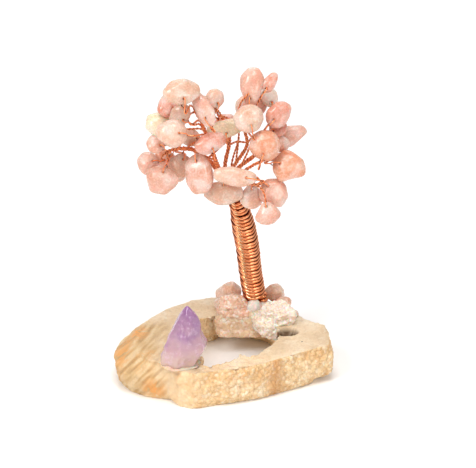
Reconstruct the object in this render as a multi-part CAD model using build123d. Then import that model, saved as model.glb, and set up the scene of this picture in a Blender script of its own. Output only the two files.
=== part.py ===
from build123d import *
from math import cos, sin, radians, pi, sqrt, tau
import os

# A gemstone tree: copper wire branches with drilled quartz chips, on an agate slice.
# Millimetres, +Z up, the front faces -Y. The origin is on the underside, at the middle of the slice.

os.makedirs("parts", exist_ok=True)

# Slice sizes
SLAB_LENGTH = 73.0
SLAB_DEPTH = 56.4
SLAB_THICKNESS = 13.5
SLAB_BEVEL = 6.5

# Trunk sizes: how high it forks into roots, how tall it is and how far it leans
FORK_RISE = 5.9
TRUNK_HEIGHT = 45.0
TRUNK_LEAN_X = -9.4
TRUNK_LEAN_Y = -7.5
ROOT_SPREAD = 3.2
ROOT_WIRE = 1.05

# Wire bundle sizes
STEM_WIDTH_FOOT = 1.75
STEM_WIDTH_NECK = 1.0
STEM_WIDTH_CROWN = 1.1
STEM_WIDTH_TIP = 0.8
STEM_GAP = 0.08
TWIG_WIDTH = 0.8
HOOK_WIDTH = 0.45
SEAT_GAP = 0.12
HOOK_NEAR = 0.55
HOOK_FAR = 2.2

# Wrapping wire: turns up the trunk, width, clearance to the core, and its foot beside the right root
WRAP_TURNS = 23.75
WRAP_WIDTH = 1.0
WRAP_SIDES = 5
WRAP_GAP = 0.1
WRAP_FOOT_X = 3.6
WRAP_FOOT_Y = 2.9
WRAP_FOOT_RUN = 3.2
WRAP_LEAST_GAP = 0.4

# Crown sizes: its reach, and its middle as seen from the top of the trunk
CROWN_RADIUS = 25.0
CROWN_SHIFT_X = -0.8
CROWN_SHIFT_Y = -3.75
CROWN_RISE = 16.0
CHIP_HOLE = 1.0
CHIP_HOOK_GAP = 0.12

# Amethyst and foot stone sizes
POINT_WIDTH = 14.0
POINT_DEPTH = 13.0
POINT_HEIGHT = 21.0
STONE_SIZE = 10.0
GLUE_LENGTH = 15.0
GLUE_DEPTH = 11.0
GLUE_HEIGHT = 2.6
GLUE_RING_WIDTH = 1.0
GLUE_RING_HEIGHT = 1.3
GLUE_GAP = 0.05

# Overrun of every cutting body past the face that it cuts
CUT = 5.0

# How far out of flat a face may be, the least share of a bend's mitre, and the step for a coil's direction
FLATNESS_SHARE = 0.0000001
MITRE_SHARE = 0.5
STEP_SHARE = 0.001

# Places of the fork and the amethyst as shares of the slice, and the chips' size as a share of the crown
FORK_PLACE_SHARES = (0.28, 0.64)
POINT_PLACE_SHARES = (-0.395, -0.71)
CHIP_SIZE_SHARE = 0.432
FORK_X = SLAB_LENGTH / 2 * FORK_PLACE_SHARES[0]
FORK_Y = SLAB_DEPTH / 2 * FORK_PLACE_SHARES[1]
POINT_X = SLAB_LENGTH / 2 * POINT_PLACE_SHARES[0]
POINT_Y = SLAB_DEPTH / 2 * POINT_PLACE_SHARES[1]
CHIP_SIZE = CROWN_RADIUS * CHIP_SIZE_SHARE

# Shares of a full turn that set a six-sided and a four-sided wire on a flat side
FLAT_TURN_SHARE = 1 / 12
TWIG_TURN_SHARE = 1 / 8

# The crown is laid out as it is seen from the front, this many degrees above level
LOOK_DOWN = 27.0
LOOK_COS = cos(radians(LOOK_DOWN))
LOOK_SIN = sin(radians(LOOK_DOWN))

# Rim of the slice, from the left going round behind: across, depth, drawn in at the top, drawn in below
RIM_SHARES = (
    (-1.00, -0.18, 1.00, 0.25),
    (-0.97, 0.10, 0.95, 0.25),
    (-0.88, 0.32, 0.80, 0.25),
    (-0.74, 0.50, 0.55, 0.25),
    (-0.61, 0.64, 0.35, 0.20),
    (-0.46, 0.79, 0.30, 0.20),
    (-0.32, 0.91, 0.25, 0.20),
    (-0.05, 1.00, 0.20, 0.20),
    (0.25, 1.00, 0.18, 0.20),
    (0.50, 0.84, 0.20, 0.20),
    (0.68, 0.60, 0.25, 0.25),
    (0.79, 0.42, 0.30, 0.30),
    (0.96, 0.22, 0.20, 0.40),
    (1.00, -0.08, 0.15, 0.70),
    (0.98, -0.28, 0.12, 0.85),
    (0.84, -0.38, 0.12, 0.25),
    (0.56, -0.60, 0.14, 0.20),
    (0.32, -0.78, 0.12, 0.20),
    (0.08, -0.89, 0.15, 0.25),
    (-0.29, -1.00, 0.12, 0.10),
    (-0.41, -0.94, 0.15, 0.12),
    (-0.50, -0.80, 0.20, 0.25),
    (-0.74, -0.73, 0.45, 0.30),
    (-0.89, -0.58, 0.80, 0.30),
    (-0.97, -0.40, 1.00, 0.30),
)
RIM_HEIGHT_SHARES = (0.0, 0.22, 0.62, 1.0)

# Natural hole through the slice: across and depth at the top face, then at the underside
HOLE_SHARES = (
    (-0.20, -0.79, -0.16, -0.72),
    (-0.06, -0.74, -0.05, -0.70),
    (0.07, -0.60, 0.07, -0.55),
    (0.16, -0.47, 0.16, -0.40),
    (0.25, -0.55, 0.25, -0.45),
    (0.36, -0.39, 0.36, -0.28),
    (0.45, -0.23, 0.47, -0.05),
    (0.50, -0.06, 0.50, 0.22),
    (0.48, 0.12, 0.48, 0.48),
    (0.40, 0.30, 0.40, 0.68),
    (0.24, 0.41, 0.22, 0.80),
    (0.06, 0.40, 0.02, 0.82),
    (-0.12, 0.41, -0.10, 0.70),
    (-0.28, 0.34, -0.26, 0.60),
    (-0.38, 0.12, -0.37, 0.28),
    (-0.37, -0.14, -0.36, -0.08),
    (-0.26, -0.36, -0.25, -0.34),
    (-0.19, -0.58, -0.18, -0.56),
)

# Curve of the trunk between fork and top: shares of its two leans and of its height
TRUNK_CURVE_SHARES = ((0.0, 0.0, 0.0), (0.30, 0.16, 0.33), (0.10, 0.67, 0.69), (1.0, 1.0, 1.0))
TRUNK_STATION_SHARES = (0.0, 0.25, 0.5, 0.63, 0.75, 0.87, 1.0)
NECK_START_SHARE = 0.4

# Wrapping wire: share of the trunk where it starts and ends, then the way of its end up to the top stone
WRAP_START_SHARE = 0.02
WRAP_END_SHARE = 0.93
WRAP_END_SHARES = ((0.11, -0.24, 0.32), (0.20, 0.085, 0.24), (0.20, 0.41, 0.16), (0.23, 0.62, 0.12))

# Branches: slot in the trunk, root
BRANCH_SLOTS = {
    "upper_left": (5, "left"),
    "left": (4, "left"),
    "top": (3, "left"),
    "top_right": (0, "left"),
    "right_high": (2, "right"),
    "right": (1, "right"),
    "front": (6, "right"),
}

# Their points in the crown as shares of its reach: across, up, depth
BRANCH_POINT_SHARES = {
    "upper_left": ((-0.10, -0.22, 0.02), (-0.22, 0.12, -0.08), (-0.33, 0.36, -0.10), (-0.42, 0.52, -0.08)),
    "left": ((-0.16, -0.24, 0.12), (-0.42, -0.06, 0.06), (-0.70, -0.08, 0.02), (-0.84, -0.18, 0.00)),
    "top": ((0.02, -0.26, 0.28), (0.08, 0.06, 0.32), (0.00, 0.32, 0.26), (-0.10, 0.48, 0.18)),
    "top_right": ((0.14, -0.28, 0.12), (0.31, 0.00, 0.06), (0.27, 0.24, 0.10), (0.31, 0.42, 0.13)),
    "right_high": ((0.20, -0.30, 0.26), (0.43, -0.12, 0.32), (0.60, 0.14, 0.30), (0.64, 0.40, 0.22)),
    "right": ((0.22, -0.38, 0.06), (0.46, -0.24, -0.06), (0.66, -0.18, -0.10)),
    "front": ((0.16, -0.52, -0.12), (0.34, -0.52, -0.34), (0.52, -0.54, -0.42)),
}

# Places of the roots' bundles about the foot of each root, in shares of the root wire
ROOT_SLOT_SHARES = {
    "upper_left": (-0.50, -0.87),
    "left": (-1.00, 0.00),
    "top": (-0.50, 0.87),
    "top_right": (0.00, 0.00),
    "right_high": (0.00, 0.87),
    "right": (0.50, 0.00),
    "front": (0.00, -0.87),
}

# Chips: branch, place on it, across, up, depth, tall, wide, three turns in degrees, outline
CHIP_SHARES = {
    "chip_upper_left_1": ("upper_left", 1.0, -0.55, 0.66, -0.30, 0.78, 1.06, 12, -10, 15, "dome"),
    "chip_upper_left_2": ("upper_left", 0.75, -0.28, 0.47, -0.24, 1.15, 0.55, 28, 0, -25, "wedge"),
    "chip_upper_left_3": ("upper_left", 0.80, -0.73, 0.50, 0.04, 0.58, 0.62, 50, 0, 20, "bean"),
    "chip_upper_left_4": ("upper_left", 0.55, -0.58, 0.36, -0.14, 0.52, 0.66, 60, 0, -20, "block"),
    "chip_upper_left_5": ("upper_left", 0.45, -0.86, 0.25, -0.02, 0.66, 0.70, 75, 0, 20, "leaf"),
    "chip_upper_left_6": ("upper_left", 0.35, -0.68, 0.13, -0.38, 0.86, 0.80, 85, 0, 10, "wedge"),
    "chip_upper_left_7": ("upper_left", 0.30, -0.44, 0.09, 0.12, 0.60, 0.52, 60, 0, 40, "round"),
    "chip_left_1": ("left", 1.0, -1.00, -0.25, 0.04, 0.56, 0.62, 100, 0, 15, "round"),
    "chip_left_2": ("left", 0.90, -0.77, -0.20, 0.24, 0.56, 0.56, 140, 0, -20, "bean"),
    "chip_left_3": ("left", 0.80, -0.80, -0.46, -0.21, 0.80, 0.96, 165, 0, 10, "leaf"),
    "chip_left_4": ("left", 0.52, -0.56, -0.28, 0.03, 0.64, 0.64, 170, 0, -15, "round"),
    "chip_left_5": ("left", 0.45, -0.32, -0.37, -0.30, 1.26, 0.80, 186, 0, 15, "dome"),
    "chip_left_6": ("left", 0.25, -0.18, 0.01, -0.30, 0.58, 0.82, 20, 10, 10, "block"),
    "chip_left_7": ("left", 0.72, -0.89, 0.00, -0.16, 0.46, 0.50, 60, 0, 25, "round"),
    "chip_top_1": ("top", 0.60, 0.02, 0.21, 0.01, 0.58, 1.08, 10, 0, 0, "bean"),
    "chip_top_2": ("top", 1.0, -0.11, 0.60, 0.05, 0.50, 0.46, 10, 0, 30, "block"),
    "chip_top_3": ("top", 0.85, -0.22, 0.50, 0.20, 0.54, 0.46, 40, 0, -20, "wedge"),
    "chip_top_right_1": ("top_right", 0.60, 0.33, 0.33, -0.22, 0.80, 0.88, 15, 0, 5, "round"),
    "chip_top_right_2": ("top_right", 0.80, 0.40, 0.52, 0.31, 0.70, 0.66, -30, 0, 20, "block"),
    "chip_top_right_3": ("top_right", 1.0, 0.37, 0.74, 0.11, 1.16, 0.70, -4, 0, -10, "tooth"),
    "chip_top_right_4": ("top_right", 0.72, 0.60, 0.80, 0.12, 0.56, 0.34, -30, 0, 10, "leaf"),
    "chip_right_high_1": ("right_high", 0.90, 0.72, 0.40, -0.04, 0.80, 0.62, -40, 0, 10, "wedge"),
    "chip_right_high_2": ("right_high", 1.0, 0.60, 0.62, 0.30, 0.52, 0.44, 15, 0, 20, "round"),
    "chip_right_high_3": ("right_high", 0.60, 0.88, 0.12, 0.20, 0.80, 0.54, -60, 0, 10, "leaf"),
    "chip_right_high_4": ("right_high", 0.70, 0.72, 0.215, 0.06, 0.46, 0.46, -50, 0, -30, "round"),
    "chip_right_1": ("right", 0.55, 0.54, -0.03, -0.26, 0.92, 0.90, -15, 0, 5, "dome"),
    "chip_right_2": ("right", 1.0, 0.85, -0.275, -0.19, 0.94, 0.90, -95, 0, -10, "leaf"),
    "chip_right_3": ("right", 0.85, 0.76, 0.01, 0.02, 0.44, 0.44, -50, 0, 20, "bean"),
    "chip_front_1": ("front", 0.75, 0.15, -0.43, -0.44, 1.26, 0.56, 82, 0, 5, "round"),
    "chip_front_2": ("front", 0.10, 0.00, -0.63, -0.26, 0.74, 1.14, 178, 0, 0, "dome"),
    "chip_front_3": ("front", 0.60, 0.37, -0.68, -0.24, 0.70, 0.58, 170, 0, 10, "tooth"),
    "chip_front_4": ("front", 1.0, 0.66, -0.62, -0.28, 0.86, 0.82, 230, 0, -5, "leaf"),
    "chip_front_5": ("front", 0.85, 0.58, -0.90, -0.58, 0.62, 0.60, 190, 0, 5, "tooth"),
    "chip_back_1": ("upper_left", 0.60, -0.60, 0.46, 0.38, 0.70, 0.62, 40, 20, 160, "round"),
    "chip_back_2": ("left", 0.60, -0.66, -0.32, 0.46, 0.66, 0.70, 140, 20, 170, "bean"),
    "chip_back_3": ("top", 0.70, 0.04, 0.26, 0.62, 0.66, 0.70, 0, 25, 190, "leaf"),
    "chip_back_4": ("top", 0.80, 0.32, 0.50, 0.52, 0.70, 0.60, 0, 20, 175, "block"),
    "chip_back_5": ("right_high", 0.55, 0.56, 0.04, 0.62, 0.72, 0.66, 0, 30, 185, "dome"),
    "chip_back_6": ("right_high", 0.45, 0.82, -0.22, 0.34, 0.66, 0.60, 265, 10, 170, "round"),
    "chip_back_7": ("left", 0.65, -0.78, 0.14, 0.36, 0.64, 0.60, 60, 15, 165, "wedge"),
}

# Outlines of the tumbled chips, as shares of their half size at even angles from the right of the far end
CHIP_OUTLINE_SHARES = {
    "round": (1.02, 1.06, 0.98, 1.04, 1.00, 0.96, 1.02, 0.98),
    "dome": (1.04, 1.08, 1.04, 1.06, 1.00, 0.84, 0.86, 1.02),
    "tooth": (1.10, 1.10, 1.06, 1.12, 0.76, 0.90, 0.88, 0.72),
    "leaf": (0.86, 1.16, 0.98, 0.84, 1.00, 0.94, 0.96, 1.10),
    "block": (1.14, 1.00, 0.98, 1.10, 1.12, 0.96, 0.98, 1.08),
    "bean": (1.10, 0.98, 0.84, 1.04, 1.06, 0.98, 0.92, 1.04),
    "wedge": (0.90, 1.04, 0.96, 0.80, 1.02, 1.02, 1.06, 1.12),
}
# Profile of a chip: share of its thickness, share of its outline, and sideways shift
CHIP_PROFILE_SHARES = ((-0.50, 0.58, 0.04), (-0.22, 0.96, -0.02), (0.16, 1.00, 0.02), (0.50, 0.60, -0.04))
CHIP_THICK_SHARE = 0.60
CHIP_HOLE_SHARE = -0.24

# Where a hook turns in over its chip, and how steeply a twig leaves the end or the side of its branch
HOOK_TURN_SHARE = 0.9
END_LEAN_SHARE = 0.3
SIDE_SLOPE_SHARE = 0.35

# Foot stones: across, depth and rise from the fork in stone sizes, length, width, thickness, turns, outline
STONE_SHARES = {
    "foot_stone_back_left": (-0.86, 0.62, 0.36, 0.92, 0.84, 0.56, 90, 0, -8, "dome"),
    "foot_stone_back_right": (0.70, 0.62, 0.33, 0.70, 0.78, 0.52, 90, 0, 20, "round"),
    "foot_quartz_clear": (0.02, -0.40, 0.24, 0.42, 0.40, 0.54, 0, 0, 20, "block"),
    "foot_cluster_pink": (-0.72, -0.46, 0.30, 1.02, 0.64, 0.72, 0, 0, 8, "bean"),
    "foot_druzy_white": (0.76, -0.86, 0.26, 1.30, 0.86, 0.74, 0, 0, -14, "wedge"),
    "foot_stone_olive": (0.98, 0.12, 0.22, 0.62, 0.56, 0.44, 0, 0, 30, "round"),
}
DRILLED_STONE = "foot_stone_back_left"

# Amethyst point: height and, round its six sides, the reach of each ring; then the shift of the ring
POINT_RING_SHARES = (
    (0.00, (0.86, 0.84, 0.90, 0.88, 0.80, 0.82), -0.04),
    (0.16, (0.96, 0.92, 0.98, 0.98, 0.90, 0.94), 0.04),
    (0.36, (1.00, 0.90, 0.94, 0.90, 0.92, 0.98), 0.19),
    (0.66, (0.74, 0.66, 0.66, 0.60, 0.66, 0.74), 0.30),
    (0.82, (0.52, 0.46, 0.46, 0.42, 0.46, 0.54), 0.38),
)
POINT_TIP_SHARES = (0.34, 0.06)
POINT_TURN_SHARE = 0.35

# Core reach in bundle widths, then the steps and least stretch, in wire widths, for measuring the coil's gap
CORE_REACH_SHARE = 1.53
GAP_STEP_SHARE = 0.5
GAP_APART_SHARE = 3.0

# Form of a glue mound: outline, the hole for the wrapping wire, then size and height
GLUE_OUTLINE_SHARES = (1.00, 0.90, 0.97, 0.88, 1.00, 0.92, 0.96, 1.00, 0.90, 0.96)
GLUE_HOLE_SHARE = 0.65
GLUE_PROFILE_SHARES = ((1.00, 0.0), (0.86, 0.55), (0.50, 1.0))


def put(name, *solids):
    """Writes one node."""
    shape = solids[0] if len(solids) == 1 else Compound(children=list(solids))
    export_step(shape, f"parts/{name}.step")


def polygon_ring(plane, width, sides, turn_share):
    """A regular ring of points in a plane, measured across its corners."""
    angles = [tau * (turn_share + k / sides) for k in range(sides)]
    return [plane.from_local_coords((width / 2 * cos(a), width / 2 * sin(a), 0)) for a in angles]


def flat_face(*points):
    """One flat face through its corners."""
    return Face(Wire.make_polygon([Vector(*p) for p in points], close=True))


def is_flat(a, b, c, d):
    """Whether four corners lie in one plane."""
    normal = (b - a).cross(c - a)
    return abs(normal.dot(d - a)) < FLATNESS_SHARE * normal.length


def faceted(rings, tip=None):
    """A solid with flat sides through rings of points, closed by flat ends or by a tip."""
    rings = [[Vector(*p) for p in ring] for ring in rings]
    faces = [flat_face(*rings[0])]
    for low, high in zip(rings, rings[1:]):
        for k in range(len(low)):
            a, b, c, d = low[k - 1], low[k], high[k], high[k - 1]
            if is_flat(a, b, c, d):
                faces.append(flat_face(a, b, c, d))
            else:
                faces += [flat_face(a, b, c), flat_face(a, c, d)]
    if tip is None:
        faces.append(flat_face(*rings[-1]))
    else:
        faces += [flat_face(rings[-1][k - 1], rings[-1][k], tip) for k in range(len(rings[-1]))]
    return Solid(Shell(faces))


def carried_plane(origin, normal, x_before):
    """A plane across a wire, turned as little as can be from the one before it."""
    x_dir = x_before - normal * x_before.dot(normal)
    return Plane(origin=origin, x_dir=x_dir, z_dir=normal)


def wire_rings(points, widths, sides, x_start, turn_share):
    """Rings across a bent wire, mitred at every bend."""
    rings = []
    x_dir = x_start
    runs = [(b - a).normalized() for a, b in zip(points, points[1:])]
    for k, (point, width) in enumerate(zip(points, widths)):
        run_in = runs[max(k - 1, 0)]
        run_out = runs[min(k, len(runs) - 1)]
        normal = (run_in + run_out).normalized()
        plane = carried_plane(point, normal, x_dir)
        x_dir = plane.x_dir
        stretch = 1 / max(normal.dot(run_in), MITRE_SHARE) - 1
        bend = run_out - run_in
        ring = polygon_ring(plane, width, sides, turn_share)
        if bend.length > FLATNESS_SHARE:
            bend = bend.normalized()
            ring = [p + bend * ((p - point).dot(bend) * stretch) for p in ring]
        rings.append(ring)
    return rings


# Slice
def rim_ring(height_share):
    """The rim of the slice at one height, drawn in towards the top and the underside."""
    ring = []
    for x_share, y_share, top_share, low_share in RIM_SHARES:
        x = x_share * SLAB_LENGTH / 2
        y = y_share * SLAB_DEPTH / 2
        reach = sqrt(x * x + y * y)
        draw = 0
        if height_share == RIM_HEIGHT_SHARES[-1]:
            draw = top_share * SLAB_BEVEL
        if height_share == RIM_HEIGHT_SHARES[0]:
            draw = low_share * SLAB_BEVEL
        keep = (reach - draw) / reach
        ring.append((x * keep, y * keep, height_share * SLAB_THICKNESS))
    return ring


def hole_ring(at_top):
    """The hole's edge at the top face or at the underside, carried on past the face."""
    ring = []
    for x_top, y_top, x_low, y_low in HOLE_SHARES:
        grow = CUT / SLAB_THICKNESS
        x_step = (x_top - x_low) * grow
        y_step = (y_top - y_low) * grow
        x_share = x_top + x_step if at_top else x_low - x_step
        y_share = y_top + y_step if at_top else y_low - y_step
        z = SLAB_THICKNESS + CUT if at_top else -CUT
        ring.append((x_share * SLAB_LENGTH / 2, y_share * SLAB_DEPTH / 2, z))
    return ring


slab_rings = [rim_ring(share) for share in RIM_HEIGHT_SHARES]
slab = faceted(slab_rings) - faceted([hole_ring(False), hole_ring(True)])

# Trunk curve and the planes across it
FORK = Vector(FORK_X, FORK_Y, SLAB_THICKNESS + FORK_RISE)
TRUNK_TOP = FORK + Vector(TRUNK_LEAN_X, TRUNK_LEAN_Y, TRUNK_HEIGHT)
CROWN = TRUNK_TOP + Vector(CROWN_SHIFT_X, CROWN_SHIFT_Y, CROWN_RISE)
trunk_points = [
    FORK + Vector(TRUNK_LEAN_X * x, TRUNK_LEAN_Y * y, TRUNK_HEIGHT * z) for x, y, z in TRUNK_CURVE_SHARES
]
trunk_curve = Bezier(*trunk_points)


def trunk_plane(share):
    """The plane across the trunk at a share of its height, with X to the right."""
    normal = trunk_curve % share
    return carried_plane(trunk_curve @ share, normal, Vector(1, 0, 0))


def stem_pitch(share):
    """How far apart the bundles lie in the trunk, which thins towards its neck."""
    neck = max(share - NECK_START_SHARE, 0) / (1 - NECK_START_SHARE)
    return STEM_WIDTH_FOOT + (STEM_WIDTH_NECK - STEM_WIDTH_FOOT) * neck


def crown_point(across, up, depth):
    """A place in the crown from its shares as seen from the front."""
    back = depth * CROWN_RADIUS
    rise = (up * CROWN_RADIUS - back * LOOK_SIN) / LOOK_COS
    return CROWN + Vector(across * CROWN_RADIUS, back, rise)


# Branches: seven bundles packed side by side in the trunk, which part into two roots and the crown
def branch_points(name):
    return [crown_point(*shares) for shares in BRANCH_POINT_SHARES[name]]


def branch_width(k, count):
    """The width of a branch at one of its points in the crown."""
    return STEM_WIDTH_CROWN + (STEM_WIDTH_TIP - STEM_WIDTH_CROWN) * k / (count - 1)


def branch_solid(name):
    slot, root = BRANCH_SLOTS[name]
    corner_share = 1 / cos(pi / 6)
    slot_angle = radians(60 * (slot - 1))
    slot_reach = 0 if slot == 0 else 1
    rings = []
    root_x, root_y = ROOT_SLOT_SHARES[name]
    side = -ROOT_SPREAD if root == "left" else ROOT_SPREAD
    foot = Vector(FORK_X + side + root_x * ROOT_WIRE, FORK_Y + root_y * ROOT_WIRE, SLAB_THICKNESS + STEM_GAP)
    rings.append(polygon_ring(Plane(origin=foot), (ROOT_WIRE - STEM_GAP) * corner_share, 6, FLAT_TURN_SHARE))
    for share in TRUNK_STATION_SHARES:
        pitch = stem_pitch(share)
        plane = trunk_plane(share)
        reach = pitch * slot_reach
        centre = plane.from_local_coords((reach * cos(slot_angle), reach * sin(slot_angle), 0))
        spot = Plane(origin=centre, x_dir=plane.x_dir, z_dir=plane.z_dir)
        rings.append(polygon_ring(spot, (pitch - STEM_GAP) * corner_share, 6, FLAT_TURN_SHARE))
    points = [centre] + branch_points(name)
    widths = [STEM_WIDTH_NECK] + [branch_width(k, len(points) - 1) for k in range(len(points) - 1)]
    rings += wire_rings(points, widths, 6, trunk_plane(1.0).x_dir, FLAT_TURN_SHARE)[1:]
    return faceted(rings)


def branch_place(name, share):
    """A point on a branch in the crown, its direction there and its width."""
    points = branch_points(name)
    count = len(points)
    step = share * (count - 1)
    k = min(int(step), count - 2)
    part = step - k
    start, end = points[k], points[k + 1]
    width = branch_width(step, count)
    return start + (end - start) * part, (end - start).normalized(), width


# Chips and the twigs that carry them
def chip_plane(name):
    """A chip's plane: Y away from its twig, Z along its drilled hole."""
    _, _, across, up, depth, _, _, roll, nod, turn, _ = CHIP_SHARES[name]
    front = Plane(origin=crown_point(across, up, depth), x_dir=(1, 0, 0), z_dir=(0, -LOOK_COS, LOOK_SIN))
    return Plane(front.location * Rotation(0, 0, roll) * Rotation(nod, 0, 0) * Rotation(0, turn, 0))


def pebble(plane, tall, wide, thick, outline_shares):
    """A tumbled stone: one outline, drawn in towards both flat sides."""
    count = len(outline_shares)
    rings = []
    for z_share, size_share, shift_share in CHIP_PROFILE_SHARES:
        ring = []
        for k, reach_share in enumerate(outline_shares):
            angle = tau * (k + 0.5) / count
            x = wide / 2 * (cos(angle) * reach_share * size_share + shift_share)
            y = tall / 2 * (sin(angle) * reach_share * size_share - shift_share)
            ring.append(plane.from_local_coords((x, y, z_share * thick)))
        rings.append(ring)
    return faceted(rings)


def drill(plane, height, thick):
    """The drilled hole, which crosses a stone from one flat side to the other."""
    mouth = plane.from_local_coords((0, height, -thick))
    tool = Plane(origin=mouth, x_dir=plane.x_dir, z_dir=plane.z_dir) * RegularPolygon(CHIP_HOLE / 2, 6)
    return extrude(tool, 2 * thick)


def chip_sizes(name):
    tall = CHIP_SHARES[name][5] * CHIP_SIZE
    wide = CHIP_SHARES[name][6] * CHIP_SIZE
    return tall, wide, min(tall, wide) * CHIP_THICK_SHARE


def chip_solid(name):
    plane = chip_plane(name)
    tall, wide, thick = chip_sizes(name)
    stone = pebble(plane, tall, wide, thick, CHIP_OUTLINE_SHARES[CHIP_SHARES[name][-1]])
    return stone - drill(plane, tall * CHIP_HOLE_SHARE, thick)


def twig_solid(name):
    """A twisted pair from its branch to the chip, with one wire hooked through the chip's hole."""
    branch, share = CHIP_SHARES[name][:2]
    plane = chip_plane(name)
    tall, wide, thick = chip_sizes(name)
    tail = plane.from_local_coords((0, -tall / 2 - HOOK_NEAR, 0))
    lead = plane.from_local_coords((0, -tall / 2 - HOOK_FAR, 0))
    side = thick / 2 + HOOK_WIDTH / 2 + CHIP_HOOK_GAP
    hole_y = tall * CHIP_HOLE_SHARE
    root, run, width = branch_place(branch, share)
    aim = (lead - root).normalized()
    lean = abs(aim.dot(run))
    slope = sqrt(1 - lean * lean)
    if share == 1 and aim.dot(run) > END_LEAN_SHARE:
        off = TWIG_WIDTH / 2 * slope + SEAT_GAP
    else:
        off = (width / 2 + TWIG_WIDTH / 2 * lean + SEAT_GAP) / max(slope, SIDE_SLOPE_SHARE)
    points = [
        root + aim * off,
        lead,
        tail,
        plane.from_local_coords((0, -tall / 2 * HOOK_TURN_SHARE, side)),
        plane.from_local_coords((0, hole_y, side)),
        plane.from_local_coords((0, hole_y, -side)),
    ]
    widths = [TWIG_WIDTH, TWIG_WIDTH, TWIG_WIDTH, HOOK_WIDTH, HOOK_WIDTH, HOOK_WIDTH]
    return faceted(wire_rings(points, widths, 4, plane.x_dir, TWIG_TURN_SHARE))


# Foot stones, cut flat where they stand on the slice
def stone_solid(name):
    across, depth, rise, long, wide, thick, tip, roll, turn, outline = STONE_SHARES[name]
    centre = Vector(
        FORK_X + across * STONE_SIZE,
        FORK_Y + depth * STONE_SIZE,
        SLAB_THICKNESS + rise * STONE_SIZE,
    )
    plane = Plane(Location(centre) * Rotation(0, 0, turn) * Rotation(tip, roll, 0))
    sizes = (wide * STONE_SIZE, long * STONE_SIZE, thick * STONE_SIZE)
    stone = pebble(plane, *sizes, CHIP_OUTLINE_SHARES[outline])
    if name == DRILLED_STONE:
        stone -= drill(plane, 0, sizes[2])
    return stone - Pos(0, 0, SLAB_THICKNESS - CUT / 2) * Box(SLAB_LENGTH, SLAB_LENGTH, CUT)


branches = {name: branch_solid(name) for name in BRANCH_SLOTS}
stones = {name: stone_solid(name) for name in STONE_SHARES}
chips = {name: chip_solid(name) for name in CHIP_SHARES}
twigs = {name: twig_solid(name) for name in CHIP_SHARES}


# Amethyst point
def point_ring(height_share, reach_shares, shift_share):
    ring = []
    for k, reach_share in enumerate(reach_shares):
        angle = tau * (k + POINT_TURN_SHARE) / len(reach_shares)
        x = POINT_X + POINT_WIDTH / 2 * (cos(angle) * reach_share + shift_share)
        y = POINT_Y + POINT_DEPTH / 2 * sin(angle) * reach_share
        ring.append((x, y, SLAB_THICKNESS + height_share * POINT_HEIGHT))
    return ring


tip_x_share, tip_y_share = POINT_TIP_SHARES
tip_at = Vector(
    POINT_X + POINT_WIDTH / 2 * tip_x_share,
    POINT_Y + POINT_DEPTH / 2 * tip_y_share,
    SLAB_THICKNESS + POINT_HEIGHT,
)
amethyst = faceted([point_ring(*row) for row in POINT_RING_SHARES], tip_at)


# Wrapping wire: one unbroken tube, which coils up the trunk and ends beside the branch of the top stone
def biarc(start, way_in, end, way_out):
    """Two arcs from one point and direction to another."""
    chord = end - start
    ways = way_in + way_out
    spread = 2 * (1 - way_in.dot(way_out))
    along = chord.dot(ways)
    if spread < FLATNESS_SHARE:
        reach = chord.length / 4
    else:
        reach = (sqrt(along * along + spread * chord.dot(chord)) - along) / spread
    first = start + way_in * reach
    second = end - way_out * reach
    middle = (first + second) * 0.5
    turn = (second - first).normalized()
    return [Edge.make_tangent_arc(start, way_in, middle), Edge.make_tangent_arc(middle, turn, end)]


def wrap_point(turns):
    """A point of the coil after some turns, which run clockwise on their way up."""
    share = WRAP_START_SHARE + (WRAP_END_SHARE - WRAP_START_SHARE) * turns / WRAP_TURNS
    core = stem_pitch(share) * CORE_REACH_SHARE
    reach = core + WRAP_GAP + WRAP_WIDTH / 2
    angle = -tau * turns
    return trunk_plane(share).from_local_coords((reach * cos(angle), reach * sin(angle), 0))


def wrap_way(turns):
    """The direction of the coil there."""
    return (wrap_point(turns + STEP_SHARE) - wrap_point(turns - STEP_SHARE)).normalized()


def wrap_stops():
    """The points and directions that the wire's arcs join: its foot, each half turn, and its end."""
    up = Vector(0, 0, 1)
    foot = Vector(FORK_X + WRAP_FOOT_X, FORK_Y + WRAP_FOOT_Y, SLAB_THICKNESS + GLUE_GAP)
    stops = [(foot + up * WRAP_FOOT_RUN, up)]
    stops += [(wrap_point(k / 2), wrap_way(k / 2)) for k in range(int(2 * WRAP_TURNS) + 1)]
    stops.append((wrap_point(WRAP_TURNS), wrap_way(WRAP_TURNS)))
    ends = [crown_point(*shares) for shares in WRAP_END_SHARES]
    runs = [(b - a).normalized() for a, b in zip(ends, ends[1:])]
    for k, end in enumerate(ends):
        way = runs[max(k - 1, 0)] + runs[min(k, len(runs) - 1)]
        stops.append((end, way.normalized()))
    return foot, stops


def wrap_path():
    foot, stops = wrap_stops()
    edges = [Line(foot, stops[0][0])]
    for (start, way_in), (end, way_out) in zip(stops, stops[1:]):
        edges += biarc(start, way_in, end, way_out)
    last, way = stops[-1]
    edges.append(Line(last, last + way * WRAP_WIDTH))
    return Wire(edges)


def least_gap(path, width):
    """The least gap between stretches of a wire that are not next to each other along it."""
    count = int(path.length / (width * GAP_STEP_SHARE))
    points = [path @ (k / count) for k in range(count + 1)]
    apart = int(GAP_APART_SHARE / GAP_STEP_SHARE)
    least = min((b - a).length for k, a in enumerate(points) for b in points[k + apart :])
    return least - width


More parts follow.
